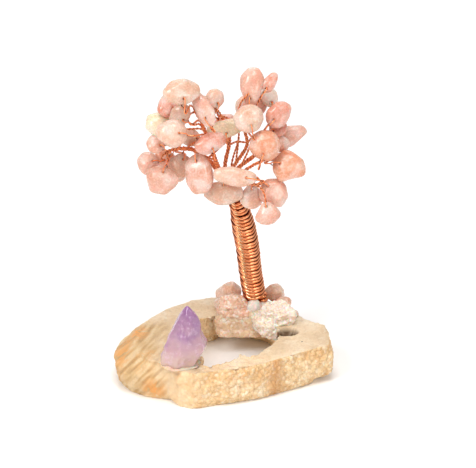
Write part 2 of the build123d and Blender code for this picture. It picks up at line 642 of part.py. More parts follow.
wrap_line = wrap_path()
wrap_start = Plane(origin=wrap_line @ 0, z_dir=wrap_line % 0)
trunk_winding = sweep(wrap_start * RegularPolygon(WRAP_WIDTH / 2, WRAP_SIDES), path=wrap_line)
wrap_gap = least_gap(wrap_line, WRAP_WIDTH)
tightest = min(edge.radius for edge in wrap_line.edges().filter_by(GeomType.CIRCLE))
print("wrapping wire: turns", WRAP_TURNS, "length", round(wrap_line.length, 1))
print("least gap", round(wrap_gap, 2), "which must be over", WRAP_LEAST_GAP)
print("tightest bend", round(tightest, 2), "which must be over", WRAP_WIDTH)


# Glue: a low mound round the roots, and a ring round the foot of the amethyst
def mound(x, y, length, depth, height):
    """A low mound of glue on the slice."""
    rings = []
    for size_share, height_share in GLUE_PROFILE_SHARES:
        ring = []
        for k, reach_share in enumerate(GLUE_OUTLINE_SHARES):
            angle = tau * k / len(GLUE_OUTLINE_SHARES)
            x_reach = length / 2 * reach_share * size_share
            y_reach = depth / 2 * reach_share * size_share
            z = SLAB_THICKNESS + height * height_share
            ring.append((x + x_reach * cos(angle), y + y_reach * sin(angle), z))
        rings.append(ring)
    return faceted(rings)


foot_glue = mound(FORK_X, FORK_Y, GLUE_LENGTH, GLUE_DEPTH, GLUE_HEIGHT)
for solid in list(branches.values()) + list(stones.values()):
    foot_glue -= solid
wire_hole = extrude(RegularPolygon(WRAP_WIDTH * GLUE_HOLE_SHARE, 6), GLUE_HEIGHT + CUT, both=True)
foot_glue -= Pos(FORK_X + WRAP_FOOT_X, FORK_Y + WRAP_FOOT_Y, SLAB_THICKNESS) * wire_hole
foot_share = max(POINT_RING_SHARES[0][1])
ring_length = POINT_WIDTH * foot_share + 2 * GLUE_RING_WIDTH
ring_depth = POINT_DEPTH * foot_share + 2 * GLUE_RING_WIDTH
point_glue = mound(POINT_X, POINT_Y, ring_length, ring_depth, GLUE_RING_HEIGHT) - amethyst

# The nodes
for name, solid in branches.items():
    own_twigs = [twigs[chip] for chip, row in CHIP_SHARES.items() if row[0] == name]
    put(f"branch_{name}", solid, *own_twigs)
for name, solid in {**chips, **stones}.items():
    put(name, solid)
put("agate_slab", slab)
put("amethyst_point", amethyst)
put("amethyst_glue", point_glue)
put("foot_glue", foot_glue)
put("trunk_winding", trunk_winding)
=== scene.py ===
import bmesh
import bpy
import numpy as np
from collections import namedtuple
from math import cos, sin, radians, pi, tau
from mathutils import Matrix, Vector, noise


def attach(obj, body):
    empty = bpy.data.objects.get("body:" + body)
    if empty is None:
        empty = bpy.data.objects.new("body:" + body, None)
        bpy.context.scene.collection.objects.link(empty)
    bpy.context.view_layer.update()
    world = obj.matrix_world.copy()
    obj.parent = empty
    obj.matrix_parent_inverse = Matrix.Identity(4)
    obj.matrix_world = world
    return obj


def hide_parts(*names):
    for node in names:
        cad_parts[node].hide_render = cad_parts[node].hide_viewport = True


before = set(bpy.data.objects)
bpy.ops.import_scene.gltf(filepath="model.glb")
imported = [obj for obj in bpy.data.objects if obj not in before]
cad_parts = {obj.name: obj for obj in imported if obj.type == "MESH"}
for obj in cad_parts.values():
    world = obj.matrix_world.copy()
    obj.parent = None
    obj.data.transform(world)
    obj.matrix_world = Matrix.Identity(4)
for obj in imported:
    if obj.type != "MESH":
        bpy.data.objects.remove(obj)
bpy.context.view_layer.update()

# Lines and points are worked out in millimetres, and meshes are made in metres
MM = 0.001

# Places and sizes shared with the CAD source, in millimetres
SLAB_TOP = 13.5
FORK = np.array([10.22, 18.05, 19.4])  # foot of the trunk
TRUNK_LEAN = np.array([-9.4, -7.5, 45.0])  # from the fork to the trunk's top
TRUNK_CURVE = ((0.0, 0.0, 0.0), (0.30, 0.16, 0.33), (0.10, 0.67, 0.69), (1.0, 1.0, 1.0))  # shares of the lean
CROWN = FORK + TRUNK_LEAN + np.array([-0.8, -3.75, 16.0])
CROWN_RADIUS = 25.0
CHIP_SIZE = 10.8
CHIP_THICK = 0.60
CHIP_HOLE = -0.24
LOOK_DOWN = 27.0
LOOK_COS = cos(radians(LOOK_DOWN))
LOOK_SIN = sin(radians(LOOK_DOWN))

# Points along each branch, as shares of the crown's radius: across, up, depth
BRANCHES = {
    "upper_left": ((-0.10, -0.22, 0.02), (-0.22, 0.12, -0.08), (-0.33, 0.36, -0.10), (-0.42, 0.52, -0.08)),
    "left": ((-0.16, -0.24, 0.12), (-0.42, -0.06, 0.06), (-0.70, -0.08, 0.02), (-0.84, -0.18, 0.00)),
    "top": ((0.02, -0.26, 0.28), (0.08, 0.06, 0.32), (0.00, 0.32, 0.26), (-0.10, 0.48, 0.18)),
    "top_right": ((0.14, -0.28, 0.12), (0.31, 0.00, 0.06), (0.27, 0.24, 0.10), (0.31, 0.42, 0.13)),
    "right_high": ((0.20, -0.30, 0.26), (0.43, -0.12, 0.32), (0.60, 0.14, 0.30), (0.64, 0.40, 0.22)),
    "right": ((0.22, -0.38, 0.06), (0.46, -0.24, -0.06), (0.66, -0.18, -0.10)),
    "front": ((0.16, -0.52, -0.12), (0.34, -0.52, -0.34), (0.52, -0.54, -0.42)),
}

Chip = namedtuple("Chip", "branch share across up depth tall wide roll nod turn colour")

# Each chip's branch and the share along it, its place in the crown, its size as shares of CHIP_SIZE,
# three turns in degrees, and its colour
CHIP_ROWS = {
    "chip_upper_left_1": ("upper_left", 1.0, -0.55, 0.66, -0.30, 0.78, 1.06, 12, -10, 15, "beige"),
    "chip_upper_left_2": ("upper_left", 0.75, -0.28, 0.47, -0.24, 1.15, 0.55, 28, 0, -25, "pink"),
    "chip_upper_left_3": ("upper_left", 0.80, -0.73, 0.50, 0.04, 0.58, 0.62, 50, 0, 20, "rose"),
    "chip_upper_left_4": ("upper_left", 0.55, -0.58, 0.36, -0.14, 0.52, 0.66, 60, 0, -20, "beige"),
    "chip_upper_left_5": ("upper_left", 0.45, -0.86, 0.25, -0.02, 0.66, 0.70, 75, 0, 20, "yellow"),
    "chip_upper_left_6": ("upper_left", 0.35, -0.68, 0.13, -0.38, 0.86, 0.80, 85, 0, 10, "pale"),
    "chip_upper_left_7": ("upper_left", 0.30, -0.44, 0.09, 0.12, 0.60, 0.52, 60, 0, 40, "brown"),
    "chip_left_1": ("left", 1.0, -1.00, -0.25, 0.04, 0.56, 0.62, 100, 0, 15, "pink"),
    "chip_left_2": ("left", 0.90, -0.77, -0.20, 0.24, 0.56, 0.56, 140, 0, -20, "peach"),
    "chip_left_3": ("left", 0.80, -0.80, -0.46, -0.21, 0.80, 0.96, 165, 0, 10, "pink"),
    "chip_left_4": ("left", 0.52, -0.56, -0.28, 0.03, 0.64, 0.64, 170, 0, -15, "beige"),
    "chip_left_5": ("left", 0.45, -0.32, -0.37, -0.30, 1.26, 0.80, 186, 0, 15, "pink"),
    "chip_left_6": ("left", 0.25, -0.18, 0.01, -0.30, 0.58, 0.82, 20, 10, 10, "rose"),
    "chip_left_7": ("left", 0.72, -0.89, 0.00, -0.16, 0.46, 0.50, 60, 0, 25, "pink"),
    "chip_top_1": ("top", 0.60, 0.02, 0.21, 0.01, 0.58, 1.08, 10, 0, 0, "yellow"),
    "chip_top_2": ("top", 1.0, -0.11, 0.60, 0.05, 0.50, 0.46, 10, 0, 30, "pale"),
    "chip_top_3": ("top", 0.85, -0.22, 0.50, 0.20, 0.54, 0.46, 40, 0, -20, "peach"),
    "chip_top_right_1": ("top_right", 0.60, 0.33, 0.33, -0.22, 0.80, 0.88, 15, 0, 5, "beige"),
    "chip_top_right_2": ("top_right", 0.80, 0.40, 0.52, 0.31, 0.70, 0.66, -30, 0, 20, "pink"),
    "chip_top_right_3": ("top_right", 1.0, 0.37, 0.74, 0.11, 1.16, 0.70, -4, 0, -10, "pink"),
    "chip_top_right_4": ("top_right", 0.72, 0.60, 0.80, 0.12, 0.56, 0.34, -30, 0, 10, "rose"),
    "chip_right_high_1": ("right_high", 0.90, 0.72, 0.40, -0.04, 0.80, 0.62, -40, 0, 10, "rose"),
    "chip_right_high_2": ("right_high", 1.0, 0.60, 0.62, 0.30, 0.52, 0.44, 15, 0, 20, "clear"),
    "chip_right_high_3": ("right_high", 0.60, 0.88, 0.12, 0.20, 0.80, 0.54, -60, 0, 10, "pink"),
    "chip_right_high_4": ("right_high", 0.70, 0.72, 0.215, 0.06, 0.46, 0.46, -50, 0, -30, "rose"),
    "chip_right_1": ("right", 0.55, 0.54, -0.03, -0.26, 0.92, 0.90, -15, 0, 5, "peach"),
    "chip_right_2": ("right", 1.0, 0.85, -0.275, -0.19, 0.94, 0.90, -95, 0, -10, "peach"),
    "chip_right_3": ("right", 0.85, 0.76, 0.01, 0.02, 0.44, 0.44, -50, 0, 20, "pink"),
    "chip_front_1": ("front", 0.75, 0.15, -0.43, -0.44, 1.26, 0.56, 82, 0, 5, "pale"),
    "chip_front_2": ("front", 0.10, 0.00, -0.63, -0.26, 0.74, 1.14, 178, 0, 0, "beige"),
    "chip_front_3": ("front", 0.60, 0.37, -0.68, -0.24, 0.70, 0.58, 170, 0, 10, "pale"),
    "chip_front_4": ("front", 1.0, 0.66, -0.62, -0.28, 0.86, 0.82, 230, 0, -5, "pink"),
    "chip_front_5": ("front", 0.85, 0.58, -0.90, -0.58, 0.62, 0.60, 190, 0, 5, "pink"),
    "chip_back_1": ("upper_left", 0.60, -0.60, 0.46, 0.38, 0.70, 0.62, 40, 20, 160, "pink"),
    "chip_back_2": ("left", 0.60, -0.66, -0.32, 0.46, 0.66, 0.70, 140, 20, 170, "beige"),
    "chip_back_3": ("top", 0.70, 0.04, 0.26, 0.62, 0.66, 0.70, 0, 25, 190, "rose"),
    "chip_back_4": ("top", 0.80, 0.32, 0.50, 0.52, 0.70, 0.60, 0, 20, 175, "pale"),
    "chip_back_5": ("right_high", 0.55, 0.56, 0.04, 0.62, 0.72, 0.66, 0, 30, 185, "peach"),
    "chip_back_6": ("right_high", 0.45, 0.82, -0.22, 0.34, 0.66, 0.60, 265, 10, 170, "pink"),
    "chip_back_7": ("left", 0.65, -0.78, 0.14, 0.36, 0.64, 0.60, 60, 15, 165, "yellow"),
}
CHIPS = {name: Chip(*row) for name, row in CHIP_ROWS.items()}


# Vectors and lines
def unit(v):
    return v / np.linalg.norm(v)


def crown_point(across, up, depth):
    """A place in the crown, where across and up are as the camera sees them and depth is level."""
    back = depth * CROWN_RADIUS
    rise = (up * CROWN_RADIUS - back * LOOK_SIN) / LOOK_COS
    return CROWN + np.array([across * CROWN_RADIUS, back, rise])


def trunk_at(t):
    """Place and direction of the trunk at a share of its length."""
    p = [FORK + TRUNK_LEAN * np.array(shares) for shares in TRUNK_CURVE]
    s = 1 - t
    place = s ** 3 * p[0] + 3 * s ** 2 * t * p[1] + 3 * s * t * t * p[2] + t ** 3 * p[3]
    way = 3 * (s ** 2 * (p[1] - p[0]) + 2 * s * t * (p[2] - p[1]) + t * t * (p[3] - p[2]))
    return place, unit(way)


def cross_axes(way):
    """Two directions across a way, the first as near to +X as it can be."""
    right = np.array([1.0, 0, 0])
    x = unit(right - way * np.dot(right, way))
    return x, np.cross(way, x)


def spline(points, step):
    """A smooth line through points, in even steps."""
    p = [np.array(q, float) for q in points]
    p = [2 * p[0] - p[1]] + p + [2 * p[-1] - p[-2]]
    dense = []
    for a, b, c, d in zip(p, p[1:], p[2:], p[3:]):
        t1 = np.linalg.norm(b - a) ** 0.5
        t2 = t1 + np.linalg.norm(c - b) ** 0.5
        t3 = t2 + np.linalg.norm(d - c) ** 0.5
        count = max(int(np.linalg.norm(c - b) / step * 3), 4)
        for t in np.linspace(t1, t2, count, endpoint=False):
            a1 = (t1 - t) / t1 * a + t / t1 * b
            a2 = (t2 - t) / (t2 - t1) * b + (t - t1) / (t2 - t1) * c
            a3 = (t3 - t) / (t3 - t2) * c + (t - t2) / (t3 - t2) * d
            b1 = (t2 - t) / t2 * a1 + t / t2 * a2
            b2 = (t3 - t) / (t3 - t1) * a2 + (t - t1) / (t3 - t1) * a3
            dense.append((t2 - t) / (t2 - t1) * b1 + (t - t1) / (t2 - t1) * b2)
    dense.append(p[-2])
    return evenly(np.array(dense), step)


def lengths_along(line):
    """The length of a line up to each of its points."""
    gaps = np.linalg.norm(np.diff(line, axis=0), axis=1)
    return np.concatenate([[0], np.cumsum(gaps)])


def evenly(line, step):
    """The same line in even steps."""
    along = lengths_along(line)
    count = max(int(round(along[-1] / step)), 2)
    at = np.linspace(0, along[-1], count + 1)
    return np.column_stack([np.interp(at, along, line[:, k]) for k in range(3)])


def carried_frames(line):
    """Directions along a line, and two directions across it that turn as little as they can."""
    ways = np.gradient(line, axis=0)
    ways /= np.linalg.norm(ways, axis=1)[:, None]
    x = np.cross(ways[0], [0.3, 0.9, 0.1])
    xs = []
    for way in ways:
        x = x - way * np.dot(x, way)
        x = x / np.linalg.norm(x)
        xs.append(x)
    xs = np.array(xs)
    return ways, xs, np.cross(ways, xs)


def twist(line, reach, pitch, phase, ease=0.0):
    """A line that winds round another one, closer over the last stretch when ease is given."""
    _, xs, ys = carried_frames(line)
    along = lengths_along(line)
    angle = phase - tau * along / pitch
    size = np.full(len(line), reach)
    if ease > 0:
        size = size * np.clip((along[-1] - along) / ease, 0.25, 1)
    return line + size[:, None] * (np.cos(angle)[:, None] * xs + np.sin(angle)[:, None] * ys)


def tube_arrays(line, radius, sides, inner):
    """Points and faces of a tube with rounded ends, and how deep each point lies between its neighbours.

    Depth runs from 0 on the side away from the inner line to 1 on the side towards it.
    """
    ways, xs, ys = carried_frames(line)
    angles = np.arange(sides) * tau / sides
    ring = np.cos(angles)[None, :, None] * xs[:, None, :] + np.sin(angles)[None, :, None] * ys[:, None, :]
    points = line[:, None, :] + radius * ring
    out = line - inner
    out = out - ways * (out * ways).sum(1)[:, None]
    out = out / np.maximum(np.linalg.norm(out, axis=1), 0.001)[:, None]
    deep = 0.5 - 0.5 * (ring * out[:, None, :]).sum(2)
    start = line[0] - ways[0] * radius * 0.5
    end = line[-1] + ways[-1] * radius * 0.5
    points = np.vstack([points.reshape(-1, 3), start, end])
    deep = np.concatenate([deep.ravel(), [0.3, 0.3]])
    count = len(line)
    faces = []
    for i in range(count - 1):
        for k in range(sides):
            a, b = i * sides + k, i * sides + (k + 1) % sides
            faces.append((a, b, b + sides, a + sides))
    first, last = count * sides, count * sides + 1
    for k in range(sides):
        faces.append((first, (k + 1) % sides, k))
        faces.append((last, (count - 1) * sides + k, (count - 1) * sides + (k + 1) % sides))
    return points, faces, deep


# Pieces
def add_object(name, data):
    obj = bpy.data.objects.new(name, data)
    bpy.context.scene.collection.objects.link(obj)
    return obj


def read_vectors(vertices, key):
    """The places or the normals of a mesh's vertices, as rows."""
    values = np.empty(len(vertices) * 3)
    vertices.foreach_get(key, values)
    return values.reshape(-1, 3)


def add_layer(mesh, name, values):
    layer = mesh.attributes.new(name, "FLOAT", "POINT")
    layer.data.foreach_set("value", np.asarray(values, np.float32))


def add_piece(name, points, faces, material, layers=None):
    """A visible piece from points in millimetres, with numbers at its points for its material."""
    mesh = bpy.data.meshes.new(name)
    mesh.from_pydata([tuple(p * MM) for p in points], [], faces)
    mesh.update()
    mesh.polygons.foreach_set("use_smooth", [True] * len(mesh.polygons))
    for key, values in (layers or {}).items():
        add_layer(mesh, key, values)
    obj = add_object(name, mesh)
    obj.data.materials.append(material)
    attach(obj, "root")
    return obj


def add_tubes(name, lines, radius, sides, material):
    """One piece of several wires, each given as its line and the line that it winds round."""
    points, faces, deeps = [], [], []
    start = 0
    for line, inner in lines:
        p, f, deep = tube_arrays(line, radius, sides, inner)
        points.append(p)
        deeps.append(deep)
        faces += [tuple(i + start for i in face) for face in f]
        start += len(p)
    return add_piece(name, np.vstack(points), faces, material, {"deep": np.concatenate(deeps)})


def remeshed(mesh, name, voxel, smooths):
    """An even, smoothed skin over a mesh in millimetres, as points, normals and faces."""
    obj = add_object(name, mesh)
    remesh = obj.modifiers.new("remesh", "REMESH")
    remesh.mode = "VOXEL"
    remesh.voxel_size = voxel
    soft = obj.modifiers.new("smooth", "SMOOTH")
    soft.factor = 0.5
    soft.iterations = smooths
    graph = bpy.context.evaluated_depsgraph_get()
    done = obj.evaluated_get(graph).to_mesh()
    points = read_vectors(done.vertices, "co")
    normals = read_vectors(done.vertices, "normal")
    faces = [tuple(p.vertices) for p in done.polygons]
    obj.evaluated_get(graph).to_mesh_clear()
    bpy.data.objects.remove(obj)
    bpy.data.meshes.remove(mesh)
    return points, normals, faces


def node_mesh(node):
    """A copy of a CAD node's mesh in millimetres, with its corners joined."""
    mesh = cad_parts[node].data.copy()
    mesh.transform(Matrix.Scale(1 / MM, 4))
    work = bmesh.new()
    work.from_mesh(mesh)
    bmesh.ops.remove_doubles(work, verts=work.verts, dist=0.0005)
    work.to_mesh(mesh)
    work.free()
    return mesh


def copied(node, voxel, smooths):
    return remeshed(node_mesh(node), node + "_look", voxel, smooths)


def joined_balls(name, balls, voxel, smooths, node=None):
    """One skin over several ellipsoids, each given as its middle and its three reaches, and over a node."""
    work = bmesh.new()
    if node:
        mesh = node_mesh(node)
        work.from_mesh(mesh)
        bpy.data.meshes.remove(mesh)
    for middle, reach in balls:
        move = Matrix.Translation(middle) @ Matrix.Diagonal((*reach, 1))
        bmesh.ops.create_icosphere(work, subdivisions=3, radius=1, matrix=move)
    mesh = bpy.data.meshes.new(name)
    work.to_mesh(mesh)
    work.free()
    return remeshed(mesh, name, voxel, smooths)


def shift_of(seed):
    """A shift that gives each seed its own stretch of the noise."""
    return Vector((seed * 7.31, seed * 3.17, seed * 5.77))


def lumps(points, scale, seed):
    """Smooth noise at each point, about -1 to 1."""
    shift = shift_of(seed)
    return np.array([noise.noise(Vector(p) / scale + shift) for p in points]) * 1.6


def grains(points, scale, seed):
    """Rounded grains, from 0 between them to about 1 on top of one."""
    shift = shift_of(seed)
    return np.array([1 - noise.voronoi(Vector(p) / scale + shift)[0][0] * 1.4 for p in points])


def relief(points, *layers):
    """Lumps added up from layers, each given as its height, its scale and its seed."""
    return sum(height * lumps(points, scale, seed) for height, scale, seed in layers)


def swollen(points, normals, heights):
    return points + normals * heights[:, None]


def middle_of(values):
    return (values.max() + values.min()) / 2


# Materials
class Graph:
    """Short names for building a material's nodes."""

    def __init__(self, name):
        self.material = bpy.data.materials.new(name)
        self.material.use_nodes = True
        self.nodes = self.material.node_tree.nodes
        self.links = self.material.node_tree.links
        self.shader = self.nodes["Principled BSDF"]
        self.coords = self.nodes.new("ShaderNodeTexCoord").outputs["Object"]

    def link(self, a, b):
        self.links.new(a, b)

    def feed(self, socket, value):
        """Link another node's output to a socket, or set a colour or a number there."""
        if hasattr(value, "links"):
            self.link(value, socket)
        else:
            socket.default_value = (*value, 1) if isinstance(value, tuple) else value

    def set(self, **values):
        for key, value in values.items():
            self.shader.inputs[key.replace("_", " ")].default_value = value

    def mapped(self, scale, turn):
        node = self.nodes.new("ShaderNodeMapping")
        node.inputs["Scale"].default_value = scale
        node.inputs["Rotation"].default_value = turn
        self.link(self.coords, node.inputs["Vector"])
        return node.outputs["Vector"]

    def noise(self, scale, detail, rough=0.5, warp=0.0, vector=None):
        node = self.nodes.new("ShaderNodeTexNoise")
        node.inputs["Scale"].default_value = scale
        node.inputs["Detail"].default_value = detail
        node.inputs["Roughness"].default_value = rough
        node.inputs["Distortion"].default_value = warp
        self.link(vector or self.coords, node.inputs["Vector"])
        return node.outputs["Fac"]

    def cells(self, scale):
        """Distance to the middle of a cell, and the cell's own random value."""
        node = self.nodes.new("ShaderNodeTexVoronoi")
        node.inputs["Scale"].default_value = scale
        self.link(self.coords, node.inputs["Vector"])
        split = self.nodes.new("ShaderNodeSeparateColor")
        self.link(node.outputs["Color"], split.inputs[0])
        return node.outputs["Distance"], split.outputs[0]

    def axis(self, name):
        node = self.nodes.new("ShaderNodeSeparateXYZ")
        self.link(self.coords, node.inputs[0])
        return node.outputs[name]

    def ramp(self, value, *stops):
        """A colour for each value, between stops that are each a value and its colour."""
        node = self.nodes.new("ShaderNodeValToRGB")
        ramp = node.color_ramp
        while len(ramp.elements) < len(stops):
            ramp.elements.new(0.5)
        for element, (place, colour) in zip(ramp.elements, stops):
            element.position = place
            element.color = (*colour, 1)
        self.link(value, node.inputs["Fac"])
        return node.outputs["Color"]

    def grey(self, value, *stops):
        """A ramp of plain numbers."""
        return self.ramp(value, *[(place, (v, v, v)) for place, v in stops])

    def mix(self, factor, a, b):
        node = self.nodes.new("ShaderNodeMix")
        node.data_type = "RGBA"
        for number, value in ((0, factor), (6, a), (7, b)):
            self.feed(node.inputs[number], value)
        return node.outputs[2]

    def math(self, kind, a, b=0.0):
        node = self.nodes.new("ShaderNodeMath")
        node.operation = kind
        self.feed(node.inputs[0], a)
        self.feed(node.inputs[1], b)
        return node.outputs[0]

    def sway(self, value, size):
        """A value from 0 to 1 as a shift to both sides of nought."""
        return self.math("MULTIPLY", self.math("SUBTRACT", value, 0.5), size)

    def attribute(self, name):
        node = self.nodes.new("ShaderNodeAttribute")
        node.attribute_name = name
        return node.outputs["Fac"]

    def bump(self, height, distance, strength):
        node = self.nodes.new("ShaderNodeBump")
        node.inputs["Distance"].default_value = distance
        node.inputs["Strength"].default_value = strength
        self.link(height, node.inputs["Height"])
        self.link(node.outputs["Normal"], self.shader.inputs["Normal"])

    def colour(self, value):
        self.link(value, self.shader.inputs["Base Color"])

    def rough(self, value):
        self.link(value, self.shader.inputs["Roughness"])


def paler(colour, share):
    return tuple(c + (1 - c) * share for c in colour)


def darker(colour, share):
    return tuple(c * share for c in colour)


# Share of red, green and blue that the quartz colours below keep
QUARTZ_KEEPS = (0.87, 0.82, 0.775)
# Each kind of quartz: its milky colour and its deeper one
QUARTZ_COLOURS = {
    "pink": ((0.88, 0.56, 0.455), (0.82, 0.42, 0.31)),
    "rose": ((0.86, 0.47, 0.375), (0.77, 0.33, 0.235)),
    "pale": ((0.90, 0.65, 0.53), (0.84, 0.50, 0.37)),
    "beige": ((0.85, 0.61, 0.48), (0.80, 0.47, 0.34)),
    "yellow": ((0.98, 0.86, 0.64), (0.93, 0.75, 0.53)),
    "peach": ((0.88, 0.47, 0.31), (0.82, 0.34, 0.19)),
    "clear": ((0.99, 0.83, 0.75), (0.96, 0.74, 0.65)),
    "peach_brown": ((0.88, 0.60, 0.45), (0.78, 0.46, 0.32)),
    "brown": ((0.86, 0.58, 0.43), (0.74, 0.42, 0.28)),
}


def quartz(name, milk, deep, clear):
    """Tumbled rose quartz: milky, with deeper clouds, pale veils and fine inner cracks."""
    g = Graph(name)
    milk, deep = (tuple(c * keep for c, keep in zip(colour, QUARTZ_KEEPS)) for colour in (milk, deep))
    deep = tuple(0.7 * d + 0.3 * m for d, m in zip(deep, milk))
    clouds = g.noise(190, 3.0, 0.5, 0.4)
    base = g.ramp(clouds, (0.34, deep), (0.50, milk), (0.66, paler(milk, 0.30)))
    veils = g.noise(260, 4.0, 0.6, 1.6, g.mapped((1.0, 0.45, 0.8), (0.5, 0.2, 0.9)))
    base = g.mix(g.grey(veils, (0.54, 0.0), (0.60, 0.32), (0.64, 0.0)), base, paler(milk, 0.50))
    cracks = g.noise(330, 3.0, 0.6, 1.2, g.mapped((0.6, 1.0, 1.0), (0.9, 0.4, 0.1)))
    base = g.mix(g.grey(cracks, (0.455, 0.0), (0.475, 0.22), (0.495, 0.0)), base, darker(deep, 0.80))
    g.colour(base)
    g.rough(g.grey(g.noise(1500, 2.0), (0.3, 0.16), (0.7, 0.34)))
    g.set(IOR=1.54, Subsurface_Weight=0.75, Subsurface_Scale=0.0034, Coat_Weight=0.2, Coat_Roughness=0.15)
    g.set(Subsurface_Radius=(1.0, 0.42, 0.32), Transmission_Weight=clear)
    g.bump(g.noise(1300, 3.0, 0.6), 0.00006, 0.6)
    return g.material


QUARTZ = {
    kind: quartz("quartz_" + kind, milk, deep, 0.04 if kind == "clear" else 0.08)
    for kind, (milk, deep) in QUARTZ_COLOURS.items()
}
# The pale copper of the painted highlight on the trunk
PAINTED_HIGHLIGHT_COPPER = (1.0, 0.68, 0.40)


def copper(name, bright, warm, dark, start=0.34, metal=1.0, half=0.55, painted_shade_share=0.0):
    """Copper wire with painted shade: it turns dark where it lies deep between its neighbours, partly as tarnish
    and partly as the shade there.

    The painted shade begins at the depth called start. Up to there the copper dims to a share of the warm colour,
    called half.
    With a share given, the painted light layer adds painted shade to the depth, and below nought it paints the
    copper pale as a painted highlight.
    """
    g = Graph(name)
    stain_and_highlight = g.ramp(g.noise(420, 3.0, 0.6), (0.36, warm), (0.58, bright))
    deep = g.math("ADD", g.attribute("deep"), g.sway(g.noise(700, 2.0), 0.12))
    if painted_shade_share:
        # Painted highlight: where the painted light layer is below nought, the copper turns pale
        wear_and_highlight = g.math("MULTIPLY", g.attribute("painted_light"), -1.0)
        stain_and_highlight = g.mix(g.grey(wear_and_highlight, (0.0, 0.0), (1.0, 0.9)), stain_and_highlight, PAINTED_HIGHLIGHT_COPPER)
        deep = g.math("ADD", deep, g.math("MULTIPLY", g.attribute("painted_light"), painted_shade_share))
    # Painted shade between the wires: the copper dims with depth, then goes dark
    base = g.mix(g.grey(deep, (start - 0.16, 0.0), (start + 0.02, 1.0)), stain_and_highlight, darker(warm, half))
    g.colour(g.mix(g.grey(deep, (start, 0.0), (start + 0.15, 1.0)), base, dark))
    g.rough(g.grey(deep, (0.10, 0.17), (0.50, 0.50)))
    g.set(Metallic=metal)
    g.bump(g.noise(2600, 2.0), 0.00003, 0.4)
    return g.material


COPPER = copper("copper_trunk", (1.0, 0.43, 0.21), (0.92, 0.28, 0.11), (0.10, 0.012, 0.010), 0.38, painted_shade_share=0.27)
COPPER_TWIG = copper("copper_twig", (1.0, 0.38, 0.15), (1.0, 0.26, 0.085), (0.13, 0.010, 0.005), 0.52, 0.30, 0.90)
COPPER_FOOT = copper("copper_root", (0.95, 0.36, 0.15), (0.80, 0.20, 0.07), (0.09, 0.016, 0.008))
# The cores are painted dark, as the shade inside their windings
COPPER_DARK = copper("copper_core", (0.26, 0.07, 0.03), (0.16, 0.04, 0.018), (0.06, 0.014, 0.008))


# Chips
CHIP_THICKER = 1.06  # growth along the hole
CHIP_FLATS = 2
FLAT_BITE = 0.12
CORNER = 0.96  # share of a chip's own ellipsoid where its rounding begins
HOLE_CLEAR = 0.8  # the noise starts this far from the hole's middle


def chip_frame(name):
    """Where a chip is, and its axes: across it, away from its twig, along its hole."""
    chip = CHIPS[name]
    face = Matrix(((1, 0, 0), (0, LOOK_SIN, -LOOK_COS), (0, LOOK_COS, LOOK_SIN)))
    turned = (
        face
        @ Matrix.Rotation(radians(chip.roll), 3, "Z")
        @ Matrix.Rotation(radians(chip.nod), 3, "X")
        @ Matrix.Rotation(radians(chip.turn), 3, "Y")
    )
    return crown_point(chip.across, chip.up, chip.depth), *np.array(turned).T


def chip_grow(name):
    """Small chips are drawn a little fuller than the solids, so that the crown closes as in the picture."""
    size = (CHIPS[name].tall + CHIPS[name].wide) / 2
    return 1.10 + 0.20 * np.clip((0.80 - size) / 0.35, 0, 1)


def flattened(local, chance):
    """Points drawn in to a few flat places, as a stone wears in a tumbler."""
    for _ in range(CHIP_FLATS):
        way = unit(chance.normal(size=3))
        height = local @ way
        limit = height.max() * (1 - FLAT_BITE * chance.uniform(0.5, 1.0))
        over = np.clip(height - limit, 0, None)
        local = local - way * (over * 0.85)[:, None]
    return local


def rounded(local):
    """Points with the corners that stand out of their own ellipsoid drawn half way in."""
    half = np.ptp(local, axis=0) / 2
    centre = local.min(axis=0) + half
    out = np.linalg.norm((local - centre) / half, axis=1)
    share = np.where(out > CORNER, (CORNER + (out - CORNER) * 0.5) / np.maximum(out, 0.1), 1)
    return centre + (local - centre) * share[:, None]


def fitted(local, whole, grows):
    """Points set to the middle and the size of the solid's points, times a growth along each axis."""
    for axis, grow in enumerate(grows):
        size = np.ptp(whole[:, axis]) / np.ptp(local[:, axis]) * grow
        local[:, axis] = (local[:, axis] - middle_of(local[:, axis])) * size + middle_of(whole[:, axis])
    return local


for number, (name, chip) in enumerate(CHIPS.items()):
    chance = np.random.default_rng(number + 20)
    points, normals, faces = copied(name, 0.26, 26)
    place, *ways = chip_frame(name)
    axes = np.column_stack(ways)
    whole = read_vectors(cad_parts[name].data.vertices, "co") / MM
    local = rounded(flattened((points - place) @ axes, chance))
    local = fitted(local, (whole - place) @ axes, (chip_grow(name), chip_grow(name), CHIP_THICKER))
    off_axis = np.hypot(local[:, 0], local[:, 1] - chip.tall * CHIP_SIZE * CHIP_HOLE)
    keep = np.clip((off_axis - HOLE_CLEAR) / 1.2, 0, 1)
    points = place + local @ axes.T
    swell = relief(points, (0.26, 4.2, number), (0.06, 1.7, number + 50))
    points = swollen(points, normals, swell * keep)
    stone = add_piece(name + "_stone", points, faces, QUARTZ[chip.colour])
    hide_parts(name)


# Twisted wires of the branches and twigs
WIRE = 0.20  # radius of one wire
WIRE_SIDES = 7
PAIR = 0.20  # reach of a twisted pair
BUNDLE_PITCH = 9.0
TWIG_PITCH = 2.6
FAN_PITCH = 2.4
TOP_PITCH = 2.8
HOOK_TAIL = 8  # points at the end of a pair that its hook takes over
# The hook's points: how far each is before the hole, and how far it dips into the chip
HOOK_END = ((0.9, 0.06), (0.25, 0.14), (0, 0.6))


def branch_line(name):
    """A branch from inside the trunk's top to its end."""
    low = [trunk_at(0.88)[0], trunk_at(1.0)[0]]
    return low + [crown_point(*p) for p in BRANCHES[name]]


def branch_place(name, share):
    """The point of a branch before a share of its length, and the place there."""
    points = BRANCHES[name]
    count = len(points)
    step = share * (count - 1)
    k = min(int(step), count - 2)
    a, b = crown_point(*points[k]), crown_point(*points[k + 1])
    return k, a + (b - a) * (step - k)


def pair_of(centre, pitch, ease=0.0):
    """Both wires of a twisted pair, with the line that they wind round."""
    return [(twist(centre, PAIR, pitch, phase, ease), centre) for phase in (0.0, pi)]


